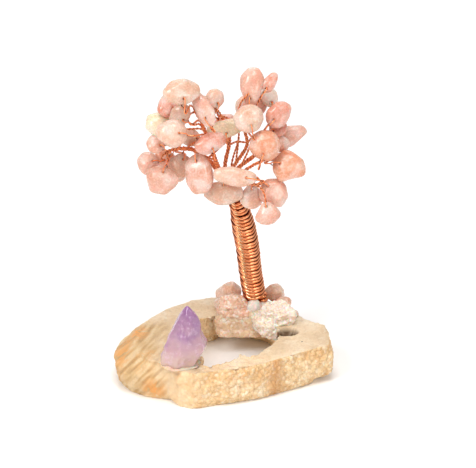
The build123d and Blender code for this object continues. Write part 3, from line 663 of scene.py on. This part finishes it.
def twig_lines(name, order, count):
    """Both wires of a twig: out of the trunk along its branch, then to the chip and through its hole."""
    chip = CHIPS[name]
    place, _, y_dir, z_dir = chip_frame(name)
    tall = chip.tall * CHIP_SIZE * chip_grow(name)
    thick = min(chip.tall, chip.wide) * CHIP_SIZE * CHIP_THICK * CHIP_THICKER
    hole_y = tall * CHIP_HOLE
    side = thick / 2 + 0.28
    tail = place - y_dir * (tall / 2 + 0.5)
    lead = place - y_dir * (tall / 2 + 2.2)
    k, root = branch_place(chip.branch, chip.share)
    shared = spline(branch_line(chip.branch)[: k + 3] + [root], 0.25)
    left = sum(other.branch == chip.branch and other.share >= chip.share for other in CHIPS.values())
    reach = np.linspace(0.18 + 0.05 * count, 0.12 + 0.05 * left, len(shared))
    around = twist(shared, reach, BUNDLE_PITCH, tau * order / count + 0.7)
    way = unit(lead - root)
    centre = spline(list(around[::6]) + [root + way * 1.3, lead, tail], 0.2)
    wires = []
    for sign, (pair, inner) in zip((1, -1), pair_of(centre, TWIG_PITCH, 0.8)):
        loop = [
            pair[-HOOK_TAIL],
            pair[-1] + z_dir * sign * 0.15,
            place + y_dir * (-tall / 2 * 0.92) + z_dir * side * 0.72 * sign,
        ]
        loop += [place + y_dir * (hole_y - back) + z_dir * (side - dip) * sign for back, dip in HOOK_END]
        end = spline(loop + [place + y_dir * hole_y], 0.2)
        line = np.vstack([pair[:-HOOK_TAIL], end])
        wires.append((line, np.vstack([inner[:-HOOK_TAIL], end - z_dir * sign])))
    return wires


for branch in BRANCHES:
    own = [name for name, chip in CHIPS.items() if chip.branch == branch]
    lines = []
    for order, name in enumerate(own):
        lines += twig_lines(name, order, len(own))
    wires = add_tubes(f"wires_{branch}", lines, WIRE, WIRE_SIDES, COPPER_TWIG)
    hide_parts(f"branch_{branch}")


def crown_line(points):
    return spline([crown_point(*p) for p in points], 0.25)


# Single wires of the fan: a straight double rod, then twisted pairs as an upright and two short links
rod = crown_line(
    ((0.01, -0.46, 0.10), (-0.13, -0.30, 0.02), (-0.205, -0.20, -0.02), (-0.10, -0.09, -0.01), (0.02, 0.02, 0.06))
)
lines = [(rod + np.array([0, 0, side]), rod) for side in (-0.24, 0.24)]
for points in (
    ((0.07, -0.46, 0.12), (0.15, -0.28, 0.08), (0.18, -0.10, 0.10), (0.20, 0.08, 0.16)),
    ((0.06, -0.02, 0.14), (0.18, 0.035, 0.02), (0.31, 0.03, 0.05), (0.36, 0.08, 0.14)),
    ((0.10, -0.46, 0.12), (0.24, -0.26, 0.04), (0.34, -0.05, 0.04), (0.37, 0.04, 0.12)),
):
    lines += pair_of(crown_line(points), FAN_PITCH)
add_tubes("wires_fan", lines, WIRE, WIRE_SIDES, COPPER_TWIG)


# Trunk: a core of seven bundles wound close with one wire
TURNS = 34
ROUND = 48  # points in a turn
WRAP = 0.64  # radius of the wire
WRAP_SIDES = 12
WRAP_TOP = 0.97  # share of the trunk where the winding ends
# Outer reach of the winding along the trunk, which thins quickly towards the neck
REACH_SHARES = (0.0, 0.30, 0.52, 0.64, 0.75, 0.86, 1.0)
REACHES = (4.0, 4.0, 4.2, 3.95, 3.2, 2.3, 1.5)
# Angles of the valleys between the bundles, in degrees round the trunk
LOBES = (-20, 35, 92, 150, 215, 257, 291, 340)
# How high the wire runs round a turn: the turns rise at the left and hang at the front
SAG_ANGLES = np.radians([0, 60, 120, 180, 212, 230, 246, 262, 300, 330, 360])
SAG_RISES = [0.10, 0.30, 0.75, 1.45, 0.55, -0.20, -0.38, -0.46, -0.36, -0.06, 0.10]
# Painted light on the copper round the trunk, by angle: painted shade above nought, and a pale painted highlight
# below
PAINTED_LIGHT_ANGLES = [0, 40, 70, 100, 122, 150, 180, 214, 228, 238, 249, 256, 266, 284, 294, 320, 345, 360]
PAINTED_LIGHT = [0.6, 0.1, 0.8, 0.1, 0.8, 0.4, 0.9, 0.8, -0.1, -0.9, -0.6, 0.65, 0.2, 0.05, 0.7, 0.95, 0.9, 0.6]
# The core: one bundle in the middle and six round it
CORE_REACH = 1.50
CORE_RADIUS = 0.78
CORE_FULL = 3.95  # reach of the winding where the core is as wide as given here


def trunk_reach(share):
    return np.interp(share, REACH_SHARES, REACHES)


def lobed(angle):
    """The section of the winding as a share of its reach, drawn in between the bundles."""
    turned = (angle * 360 / tau - LOBES[0]) % 360 + LOBES[0]
    k = max(i for i in range(len(LOBES) - 1) if turned >= LOBES[i])
    height = sin(pi * min((turned - LOBES[k]) / (LOBES[k + 1] - LOBES[k]), 1))
    return 0.875 + 0.125 * height ** 0.7


coil, coil_axis = [], []
for k in range(TURNS * ROUND + 1):
    turn = k / ROUND
    share = WRAP_TOP * (turn + 0.35 * noise.noise(Vector((turn * 0.7, 9.1, 2.2)))) / TURNS
    share = max(share, 0.0)
    angle = -tau * turn
    uneven = 0.24 * noise.noise(Vector((turn * 1.9, 3.3, 1.7)))
    sag = np.interp(angle % tau, SAG_ANGLES, SAG_RISES)
    place, way = trunk_at(share)
    x, y = cross_axes(way)
    reach = (trunk_reach(share) - WRAP + uneven) * lobed(angle)
    bulge = np.array([-0.28 * np.exp(-(((share - 0.56) / 0.14) ** 2)), 0, 0])  # to the left, half way up
    coil.append(place + bulge + reach * (cos(angle) * x + sin(angle) * y) + way * sag)
    coil_axis.append(place + way * sag)
coil = np.array(coil)
for _ in range(3):
    coil[1:-1] = (coil[:-2] + 2 * coil[1:-1] + coil[2:]) / 4
coil_axis = np.array(coil_axis)
foot_line = spline(
    [(13.8, 20.9, 13.6), (13.8, 20.9, 16.0), coil[0] + np.array([0.5, 0.8, -1.2]), coil[2]], 0.3
)
line = np.vstack([foot_line[:-1], coil[2:]])
axis_line = np.vstack([np.repeat(coil_axis[:1], len(foot_line) - 1, 0), coil_axis[2:]])
winding = add_tubes("trunk_wrap", [(line, axis_line)], WRAP, WRAP_SIDES, COPPER)
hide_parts("trunk_winding")

# The winding's painted light by its angle round the trunk, with every second turn darker at the left
x, y, z = read_vectors(winding.data.vertices, "co").T / MM
trunk_x, trunk_y, trunk_z = np.array([trunk_at(share)[0] for share in np.linspace(0, 1, 60)]).T
angle = np.degrees(np.arctan2(y - np.interp(z, trunk_z, trunk_y), x - np.interp(z, trunk_z, trunk_x))) % 360
turn = (np.arange(len(x)) // WRAP_SIDES - len(foot_line)) // ROUND
left_side = np.exp(-(((angle - 205) / 24) ** 2))
add_layer(winding.data, "painted_light", np.interp(angle, PAINTED_LIGHT_ANGLES, PAINTED_LIGHT) + 0.7 * left_side * (turn % 2 == 0))

# The end of the winding's wire goes on as a pair into the top of the crown
TOP_LINE = (
    (0.11, -0.24, 0.32), (0.20, 0.085, 0.24), (0.20, 0.41, 0.14), (0.215, 0.50, 0.05), (0.25, 0.57, -0.02),
    (0.31, 0.635, -0.04), (0.33, 0.66, 0.0),
)
line = spline([coil[-1]] + [crown_point(*p) for p in TOP_LINE], 0.25)
add_tubes("trunk_wrap_end", pair_of(line, TOP_PITCH), WIRE, WIRE_SIDES, COPPER_TWIG)

core_lines = []
for k in range(7):
    reach = 0 if k == 0 else CORE_REACH
    angle = tau * k / 6
    line, axis_line = [], []
    for share in np.linspace(-0.02, 1.0, 60):
        place, way = trunk_at(share)
        x, y = cross_axes(way)
        shrink = trunk_reach(max(share, 0)) / CORE_FULL
        line.append(place + reach * shrink * (cos(angle) * x + sin(angle) * y))
        axis_line.append(place)
    core_lines.append((np.array(line), np.array(axis_line)))
add_tubes("trunk_core", core_lines, CORE_RADIUS, 8, COPPER_DARK)

# Two roots, each wound, which stand in the glue
ROOT_RADIUS = 1.0
ROOT_WRAP = 0.60
ROOT_WRAP_REACH = 1.35
ROOT_WRAP_PITCH = 1.32
for side, name in ((-1, "left"), (1, "right")):
    foot = np.array([FORK[0] + side * 3.3, FORK[1] - 0.4, SLAB_TOP + 0.1])
    top, way = trunk_at(0.07)
    bend = FORK + np.array([side * 1.9, -0.2, 0.2])
    line = spline([foot, foot + np.array([side * -0.25, 0, 2.4]), bend, top + way * 0.5], 0.3)
    add_tubes(f"root_{name}_core", [(line, line + 0.001)], ROOT_RADIUS, 10, COPPER_DARK)
    wrap = evenly(twist(line, ROOT_WRAP_REACH, ROOT_WRAP_PITCH, 0.4), 0.3)
    middle = line[np.argmin(np.linalg.norm(wrap[:, None, :] - line[None, :, :], axis=2), axis=1)]
    add_tubes(f"root_{name}_wrap", [(wrap, middle)], ROOT_WRAP, 10, COPPER_FOOT)


# Slice
SLAB_HALF = (36.6, 28.3)  # its relief stays within these
HOLE_MIDDLE = (2.5, -5.0)
HOLE_REACH = (17, 19)
RECESS_MIDDLE = (21.0, 1.6)  # the recess beside the white druzy, with painted shade in it
RECESS_REACH = (3.4, 2.5)
RECESS_DEPTH = 3.6
LAYER_WAY = unit(np.array([0.707, -0.321, -0.63]))  # across the stripes of the rind
CRACK_X = 0.0172  # a brown crack in the front wall, in metres as in all materials
VEIN_BROWN = (0.82, 0.37, 0.10)
CRACK_BROWN = (0.62, 0.30, 0.10)
SPECK_BLACK = (0.05, 0.04, 0.03)
SHADE_BROWN = (0.15, 0.075, 0.025)
# Rust veins: their place, their reach and their weight
RUST = (
    ((-33, -7, 8), (5, 8, 6), 1.0),
    ((-29, 1, 13), (4, 5, 4), 1.0),
    ((-25, -14, 8), (5, 6, 6), 1.0),
    ((-23, -20.5, 4), (4, 5, 4), 1.0),
    ((6, -24, 9), (14, 6, 5), 0.35),
)


def clamped(values):
    return np.clip(values, 0, 1)


points, normals, faces = copied("agate_slab", 0.45, 3)
x, y, z = points.T


def plan_gap(middle, reach):
    """How far each point of the slice is from a place on plan, in shares of an ellipse's reach."""
    return np.hypot((x - middle[0]) / reach[0], (y - middle[1]) / reach[1])


def near(spot, reach):
    """How near each point of the slice is to a place, from 1 down to 0."""
    gap = np.linalg.norm((points - np.array(spot)) / np.array(reach), axis=1)
    return clamped(1.25 - gap)


# Parts of the slice, mostly from 0 to 1; strip is the worn front edge of its top
up = clamped(normals[:, 2])
wall = 1 - up ** 2
upper = clamped((z - SLAB_TOP + 1.4) / 0.8) * up
low = clamped(z / 1.2)
big = lumps(points, 7.0, 3)
mid = lumps(points, 2.8, 4)
small = lumps(points, 1.2, 5)
grain = grains(points, 1.7, 6)
inner = (plan_gap(HOLE_MIDDLE, HOLE_REACH) < 1.0) & (wall > 0.4) & (y > -24)
rind = clamped((-x - 15 + 4 * big) / 9) * clamped((12 - y) / 8)
coarse = np.clip((x + 20) / 16, 0.15, 1)
layer_step = (points @ LAYER_WAY)[:, None] * LAYER_WAY
streaks = lumps(layer_step + 0.16 * (points - layer_step), 0.95, 8)
strip = clamped((-y - 11) / 5) * clamped((x + 12) / 6)
recess = clamped(1.25 - plan_gap(RECESS_MIDDLE, RECESS_REACH))
swell = wall * (
    0.55 * big + 0.40 * mid + (0.14 + 0.18 * coarse) * small + (0.10 + 0.34 * coarse) * grain
    + 0.09 * rind * streaks - 0.30
)
swell += np.where(inner, 0.50 * mid + 0.14 * small, 0)
swell += upper * (0.06 * mid + 0.04 * small + strip * (0.30 * mid + 0.16 * small - 0.7))
moved = swollen(points, normals, swell * low)
moved[:, 2] -= upper * clamped(recess * 3.0) * RECESS_DEPTH
moved[:, 2] = np.clip(moved[:, 2], 0, None)
for axis, half in enumerate(SLAB_HALF):
    moved[:, axis] = np.clip(moved[:, axis], -half, half)


def slab_material():
    """Agate slice: pale worn top, sugary golden sides, and a striped rind with rust veins at the left."""
    g = Graph("agate")
    cloud = g.noise(70, 4.0, 0.55, 0.8)
    fine = g.noise(900, 4.0, 0.7)

    top = g.ramp(cloud, (0.32, (0.68, 0.49, 0.30)), (0.50, (0.81, 0.62, 0.41)), (0.68, (0.89, 0.74, 0.55)))
    top = g.mix(g.grey(fine, (0.40, 0.35), (0.52, 0.0)), top, (0.58, 0.39, 0.21))
    top = g.mix(g.grey(g.noise(240, 4.0, 0.7, 0.6), (0.55, 0.0), (0.68, 0.5)), top, (0.90, 0.79, 0.63))

    gap, shade = g.cells(900)
    body = g.noise(110, 4.0, 0.6, 0.5)
    body = g.ramp(body, (0.34, (0.80, 0.50, 0.24)), (0.52, (0.92, 0.66, 0.37)), (0.68, (0.97, 0.78, 0.53)))
    body = g.mix(g.grey(shade, (0.0, 0.45), (0.30, 0.0)), body, (0.66, 0.38, 0.15))
    body = g.mix(g.grey(shade, (0.66, 0.0), (1.0, 0.50)), body, (0.96, 0.88, 0.72))
    body = g.mix(g.grey(gap, (0.40, 0.0), (0.75, 0.45)), body, (0.60, 0.36, 0.15))
    plain = g.noise(150, 5.0, 0.65, 0.6)
    plain = g.ramp(plain, (0.34, (0.84, 0.55, 0.30)), (0.50, (0.95, 0.69, 0.42)), (0.68, (0.98, 0.80, 0.58)))
    body = g.mix(g.attribute("coarse"), plain, body)

    skin = g.attribute("streak")
    skin = g.ramp(skin, (0.20, (0.50, 0.29, 0.12)), (0.44, (0.66, 0.43, 0.20)), (0.74, (0.78, 0.58, 0.34)))
    skin = g.mix(g.grey(fine, (0.38, 0.45), (0.50, 0.0)), skin, (0.60, 0.40, 0.20))
    colour = g.mix(g.attribute("side"), top, body)
    colour = g.mix(g.attribute("rind"), colour, skin)

    vein = g.noise(130, 5.0, 0.65, 1.0, g.mapped((0.9, 1.8, 0.9), (0, 0, radians(-45))))
    veins = g.grey(vein, (0.42, 0.0), (0.48, 1.0), (0.54, 1.0), (0.60, 0.0))
    colour = g.mix(g.math("MULTIPLY", veins, g.attribute("rust")), colour, VEIN_BROWN)
    bend = g.sway(g.noise(180, 1.0), 0.003)
    across = g.math("ADD", g.math("SUBTRACT", g.axis("X"), CRACK_X), bend)
    crack = g.grey(g.math("ABSOLUTE", across), (0.0, 0.8), (0.0005, 0.0))
    colour = g.mix(g.math("MULTIPLY", crack, g.attribute("front")), colour, CRACK_BROWN)
    dot, pick = g.cells(150)
    speck = g.math("MULTIPLY", g.grey(dot, (0.040, 1.0), (0.055, 0.0)), g.grey(pick, (0.80, 0.0), (0.82, 1.0)))
    colour = g.mix(g.math("MULTIPLY", speck, 0.9), colour, SPECK_BLACK)

    # The hole's wall is pale, partly its own colour and partly painted light against its shade, and painted
    # nearly white low down as light from the floor
    inside = g.mix(cloud, (0.90, 0.74, 0.53), (0.98, 0.88, 0.72))
    inside = g.mix(g.grey(g.axis("Z"), (0.0045, 1.0), (0.007, 0.0)), inside, (0.99, 0.95, 0.91))
    colour = g.mix(g.attribute("inside"), colour, inside)
    g.colour(g.mix(g.attribute("shade"), colour, SHADE_BROWN))
    wear_and_highlight = g.grey(cloud, (0.3, 0.30), (0.7, 0.48))
    g.rough(g.mix(g.attribute("side"), wear_and_highlight, g.grey(fine, (0.3, 0.42), (0.7, 0.75))))
    g.set(IOR=1.53, Subsurface_Weight=0.25, Subsurface_Scale=0.0018, Subsurface_Radius=(1.0, 0.7, 0.45))
    g.bump(g.mix(g.attribute("coarse"), fine, g.math("SUBTRACT", 1.0, gap)), 0.0008, 0.8)
    return g.material


steep = (wall - 0.25) * 1.9
layers = {
    "side": clamped(steep + strip * 0.8),
    "streak": 0.5 + 0.42 * streaks,
    "rind": rind,
    "coarse": coarse * clamped(steep + strip),
    "front": clamped((wall - 0.4) * 2) * (y < -6) * ~inner,
    "rust": clamped(sum(weight * near(spot, reach) for spot, reach, weight in RUST)),
    # painted shade in the recess
    "shade": clamped(recess * 8.0 - 0.4) * (z > 10),
    "inside": 0.85 * inner * (y > -8),
}
slab = add_piece("agate_slice", moved, faces, slab_material(), layers)
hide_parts("agate_slab")


# Amethyst
AMETHYST_TALL = 0.021  # in metres
# Large facets: the way each faces, its lean upwards, and the share that it takes off
AMETHYST_CUTS = (
    (20, 0.30, 0.10), (75, 0.10, 0.16), (140, 0.35, 0.12), (205, 0.15, 0.15), (250, 0.45, 0.10), (305, 0.20, 0.17)
)


def amethyst_material():
    """Amethyst: pale and warm at its foot, deep violet at its tip, with lighter and darker clouds."""
    g = Graph("amethyst")
    level = g.math("MULTIPLY", g.math("SUBTRACT", g.axis("Z"), SLAB_TOP * MM), 1 / AMETHYST_TALL)
    level = g.math("ADD", level, g.sway(g.noise(210, 4.0, 0.6), 0.50))
    base = g.ramp(
        level,
        (0.02, (0.72, 0.50, 0.44)),
        (0.24, (0.64, 0.41, 0.42)),
        (0.52, (0.52, 0.31, 0.41)),
        (0.90, (0.36, 0.18, 0.34)),
    )
    base = g.mix(g.grey(g.noise(400, 4.0, 0.7), (0.54, 0.0), (0.66, 0.50)), base, (0.80, 0.60, 0.72))
    g.colour(g.mix(g.grey(g.noise(150, 3.0, 0.5), (0.34, 0.35), (0.50, 0.0)), base, (0.24, 0.09, 0.34)))
    g.rough(g.grey(g.noise(1100, 3.0), (0.3, 0.08), (0.7, 0.26)))
    g.set(IOR=1.545, Transmission_Weight=0.12, Subsurface_Weight=0.45, Subsurface_Scale=0.003, Coat_Weight=0.35)
    g.set(Subsurface_Radius=(0.9, 0.5, 1.0))
    g.bump(g.noise(700, 4.0, 0.6), 0.0002, 0.6)
    return g.material


points, normals, faces = copied("amethyst_point", 0.22, 1)
centre = np.array([middle_of(values) for values in points.T])
for turn, lean, bite in AMETHYST_CUTS:
    way = unit(np.array([cos(radians(turn)), sin(radians(turn)), lean]))
    height = (points - centre) @ way
    points = points - way * (np.clip(height - height.max() * (1 - bite), 0, None) * 0.9)[:, None]
bulge = np.exp(-(((points[:, 2] - 19.0) / 2.8) ** 2)) * np.clip(points[:, 0] - centre[0], 0, None)
points[:, 0] = centre[0] + (points[:, 0] - centre[0]) * 1.05 + 0.22 * bulge
points = swollen(points, normals, relief(points, (0.24, 3.4, 91), (0.10, 1.2, 92)))
points[:, 2] = np.clip(points[:, 2], SLAB_TOP + 0.02, None)
crystal = add_piece("amethyst_crystal", points, faces, amethyst_material())
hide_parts("amethyst_point")


# Glue
def glue_material():
    g = Graph("clear_glue")
    g.colour(g.ramp(g.noise(400, 3.0), (0.3, (0.80, 0.55, 0.40)), (0.7, (0.88, 0.68, 0.54))))
    g.rough(g.grey(g.noise(900, 2.0), (0.3, 0.16), (0.7, 0.34)))
    g.set(IOR=1.35, Transmission_Weight=0.12, Subsurface_Weight=0.5, Subsurface_Scale=0.002)
    g.bump(g.noise(600, 2.0), 0.0003, 0.6)
    return g.material


def squeezed(z, share):
    """Heights with what is over the slice's top brought down to a share."""
    return SLAB_TOP + (z - SLAB_TOP) * share


GLUE = glue_material()
for node, seed, height in (("foot_glue", 120, 1.0), ("amethyst_glue", 121, 0.6)):
    points, normals, faces = copied(node, 0.25, 4)
    points = swollen(points, normals, relief(points, (0.24, 2.0, seed), (0.14, 0.8, seed + 9)))
    points[:, 2] = np.clip(squeezed(points[:, 2], height), SLAB_TOP + 0.01, None)
    blob = add_piece(node + "_blob", points, faces, GLUE)
    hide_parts(node)


# Foot stones and the crust of small crystals that joins them
def druzy_material(name, pale, deep, bright):
    """A crust of small crystals, some of them bright."""
    g = Graph(name)
    gap, shade = g.cells(1150)
    grain = g.noise(500, 5.0, 0.7)
    base = g.ramp(grain, (0.34, deep), (0.52, pale), (0.70, bright))
    base = g.mix(g.grey(shade, (0.72, 0.0), (1.0, 0.7)), base, paler(bright, 0.5))
    g.colour(g.mix(g.grey(shade, (0.0, 0.5), (0.25, 0.0)), base, deep))
    g.rough(g.grey(shade, (0.2, 0.12), (0.8, 0.45)))
    g.set(IOR=1.54, Subsurface_Weight=0.45, Subsurface_Scale=0.0018, Coat_Weight=0.2)
    g.bump(g.math("SUBTRACT", 1.0, gap), 0.0004, 0.6)
    return g.material


PINK_CRUST = druzy_material("druzy_pink", (0.80, 0.53, 0.38), (0.70, 0.40, 0.27), (0.90, 0.73, 0.59))
TAN_CRUST = druzy_material("druzy_tan", (0.77, 0.55, 0.36), (0.65, 0.43, 0.26), (0.87, 0.71, 0.53))
WHITE_CRUST = druzy_material("druzy_white", (0.91, 0.79, 0.66), (0.82, 0.63, 0.47), (0.96, 0.91, 0.84))
STONE_LOW = SLAB_TOP - 0.3  # stones on the slice end this far in it

Stone = namedtuple("Stone", "material slot large fine smooths height low balls")

# Each stone's material and slot, its large and fine relief, its rounds of smoothing, its height over the slice
# as a share of the solid's, its lowest level, and the balls joined to it
STONES = {
    "foot_stone_back_left": Stone(
        QUARTZ["peach_brown"], "brown_quartz", 0.3, 0.1, 12, 1.0, STONE_LOW,
        [((2.0, 19.0, 15.5), (5.6, 4.2, 4.2))],
    ),
    "foot_stone_back_right": Stone(QUARTZ["peach_brown"], "brown_quartz", 0.3, 0.1, 12, 0.80, STONE_LOW, []),
    "foot_stone_olive": Stone(
        QUARTZ["beige"], "brown_quartz", 0.3, 0.2, 6, 0.72, STONE_LOW,
        [((20.5, 13.5, 13.8), (4.6, 4.0, 2.2))],
    ),
    "foot_quartz_clear": Stone(
        QUARTZ["clear"], "clear_quartz", 0.15, 0.1, 2, 1.0, STONE_LOW,
        [((9.9, 14.2, 15.0), (3.6, 2.6, 3.4)), ((12.6, 15.4, 14.6), (4.2, 3.0, 2.6))],
    ),
    "foot_cluster_pink": Stone(
        PINK_CRUST, "druzy", 0.5, 0.5, 3, 1.0, 9.5,
        [
            ((2.6, 13.6, 14.8), (5.0, 3.8, 4.0)), ((6.0, 12.6, 13.2), (4.6, 2.9, 3.9)),
            ((1.6, 12.6, 12.8), (4.2, 2.9, 3.6)), ((2.2, 16.6, 15.0), (4.6, 4.0, 3.6)),
        ],
    ),
    "foot_druzy_white": Stone(
        WHITE_CRUST, "druzy", 0.55, 0.7, 2, 1.0, 0.0,
        [
            ((16.6, 8.6, 13.2), (6.2, 3.6, 3.4)), ((16.4, 6.6, 11.2), (4.6, 2.4, 3.6)),
            ((12.8, 10.6, 12.6), (3.8, 2.6, 3.8)),
        ],
    ),
}
for seed, (node, row) in enumerate(STONES.items()):
    points, normals, faces = joined_balls(node + "_look", row.balls, 0.26, row.smooths, node)
    swell = relief(points, (row.large, 3.0, seed + 130), (row.fine * 0.5, 0.9, seed + 140))
    if row.slot == "druzy":
        swell += row.fine * 0.45 * grains(points, 1.1, seed + 150)
    points = swollen(points, normals, swell)
    height = row.height
    if node == "foot_stone_back_left":  # it rises to the right
        height = np.clip(0.60 + 0.05 * (points[:, 0] + 2.3), 0.5, 0.84)
    points[:, 2] = squeezed(points[:, 2], np.where(points[:, 2] > SLAB_TOP, height, 1.0))
    points[:, 2] = np.clip(points[:, 2], row.low, None)
    stone = add_piece(node + "_stone", points, faces, row.material)
    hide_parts(node)

# The tan crust that hangs from the pink cluster into the hole
CRUST_Y = 11.9
CRUST_LOW = 6.8
CRUST_REACH = (4.2, 2.3, 4.4)
CRUST_SPOTS = ((0.8, 11.4), (4.6, 11.2), (8.4, 11.2), (11.6, 11.8), (1.4, 8.6), (5.4, 8.2), (9.4, 8.4))
balls = [((x, CRUST_Y, z), CRUST_REACH) for x, z in CRUST_SPOTS]
points, normals, faces = joined_balls("crust", balls, 0.3, 8)
swell = relief(points, (0.22, 2.6, 171), (0.10, 0.9, 172))
points[:, 2] = np.clip(points[:, 2], CRUST_LOW, None)
add_piece("foot_crust_tan", swollen(points, normals, swell), faces, TAN_CRUST)

# Floor, light and camera, in metres
FLOOR_EDGE = 3.0
WHITE = (1.0, 1.0, 1.0)
# Lamps: place, aim, size, power and colour
LAMPS = {
    "key": ((-0.38, -0.35, 0.55), (0, 0, 0.05), 0.30, 2.25, (1.0, 0.985, 0.96)),
    "fill": ((0.34, -0.62, 0.40), (0, 0, 0.05), 0.34, 1.4, (1.0, 0.98, 0.96)),
    "top": ((0.02, -0.18, 0.74), (0, 0, 0.03), 0.40, 2.2, WHITE),
    "back": ((0.0, 0.62, 0.62), (0, 0.66, 0), 0.60, 2.2, WHITE),
}
CAMERA_AWAY = 1.8
CAMERA_AIM = Vector((0.0048, 0.0, 0.0508))
SENSOR = 36
PICTURE_WIDE = 476 * 0.33 * MM  # the photograph's width at the part: its pixels, and millimetres to a pixel


def aimed(obj, place, aim):
    obj.location = place
    obj.rotation_euler = (Vector(aim) - obj.location).to_track_quat("-Z", "Y").to_euler()


floor_mesh = bpy.data.meshes.new("floor")
corners = [(x * FLOOR_EDGE, y * FLOOR_EDGE, 0) for x, y in ((-1, -1), (1, -1), (1, 1), (-1, 1))]
floor_mesh.from_pydata(corners, [], [(0, 1, 2, 3)])
floor = add_object("floor", floor_mesh)
g = Graph("floor")
g.set(Base_Color=(0.98, 0.972, 0.968, 1), Roughness=0.7)
floor.data.materials.append(g.material)

world = bpy.data.worlds.new("studio")
bpy.context.scene.world = world
world.use_nodes = True
backdrop = world.node_tree.nodes["Background"].inputs
backdrop["Color"].default_value = (1.0, 0.99, 0.98, 1)
backdrop["Strength"].default_value = 0.44

for name, (place, aim, size, power, colour) in LAMPS.items():
    data = bpy.data.lights.new(name, "AREA")
    data.shape = "DISK"
    data.size = size
    data.energy = power
    data.color = colour
    aimed(add_object(name, data), place, aim)

camera_data = bpy.data.cameras.new("camera")
camera_data.sensor_width = SENSOR
camera_data.lens = SENSOR * CAMERA_AWAY / PICTURE_WIDE
camera = add_object("camera", camera_data)
aimed(camera, CAMERA_AIM + CAMERA_AWAY * Vector((0, -LOOK_COS, LOOK_SIN)), CAMERA_AIM)
bpy.context.scene.camera = camera
bpy.context.scene.view_settings.view_transform = "Standard"
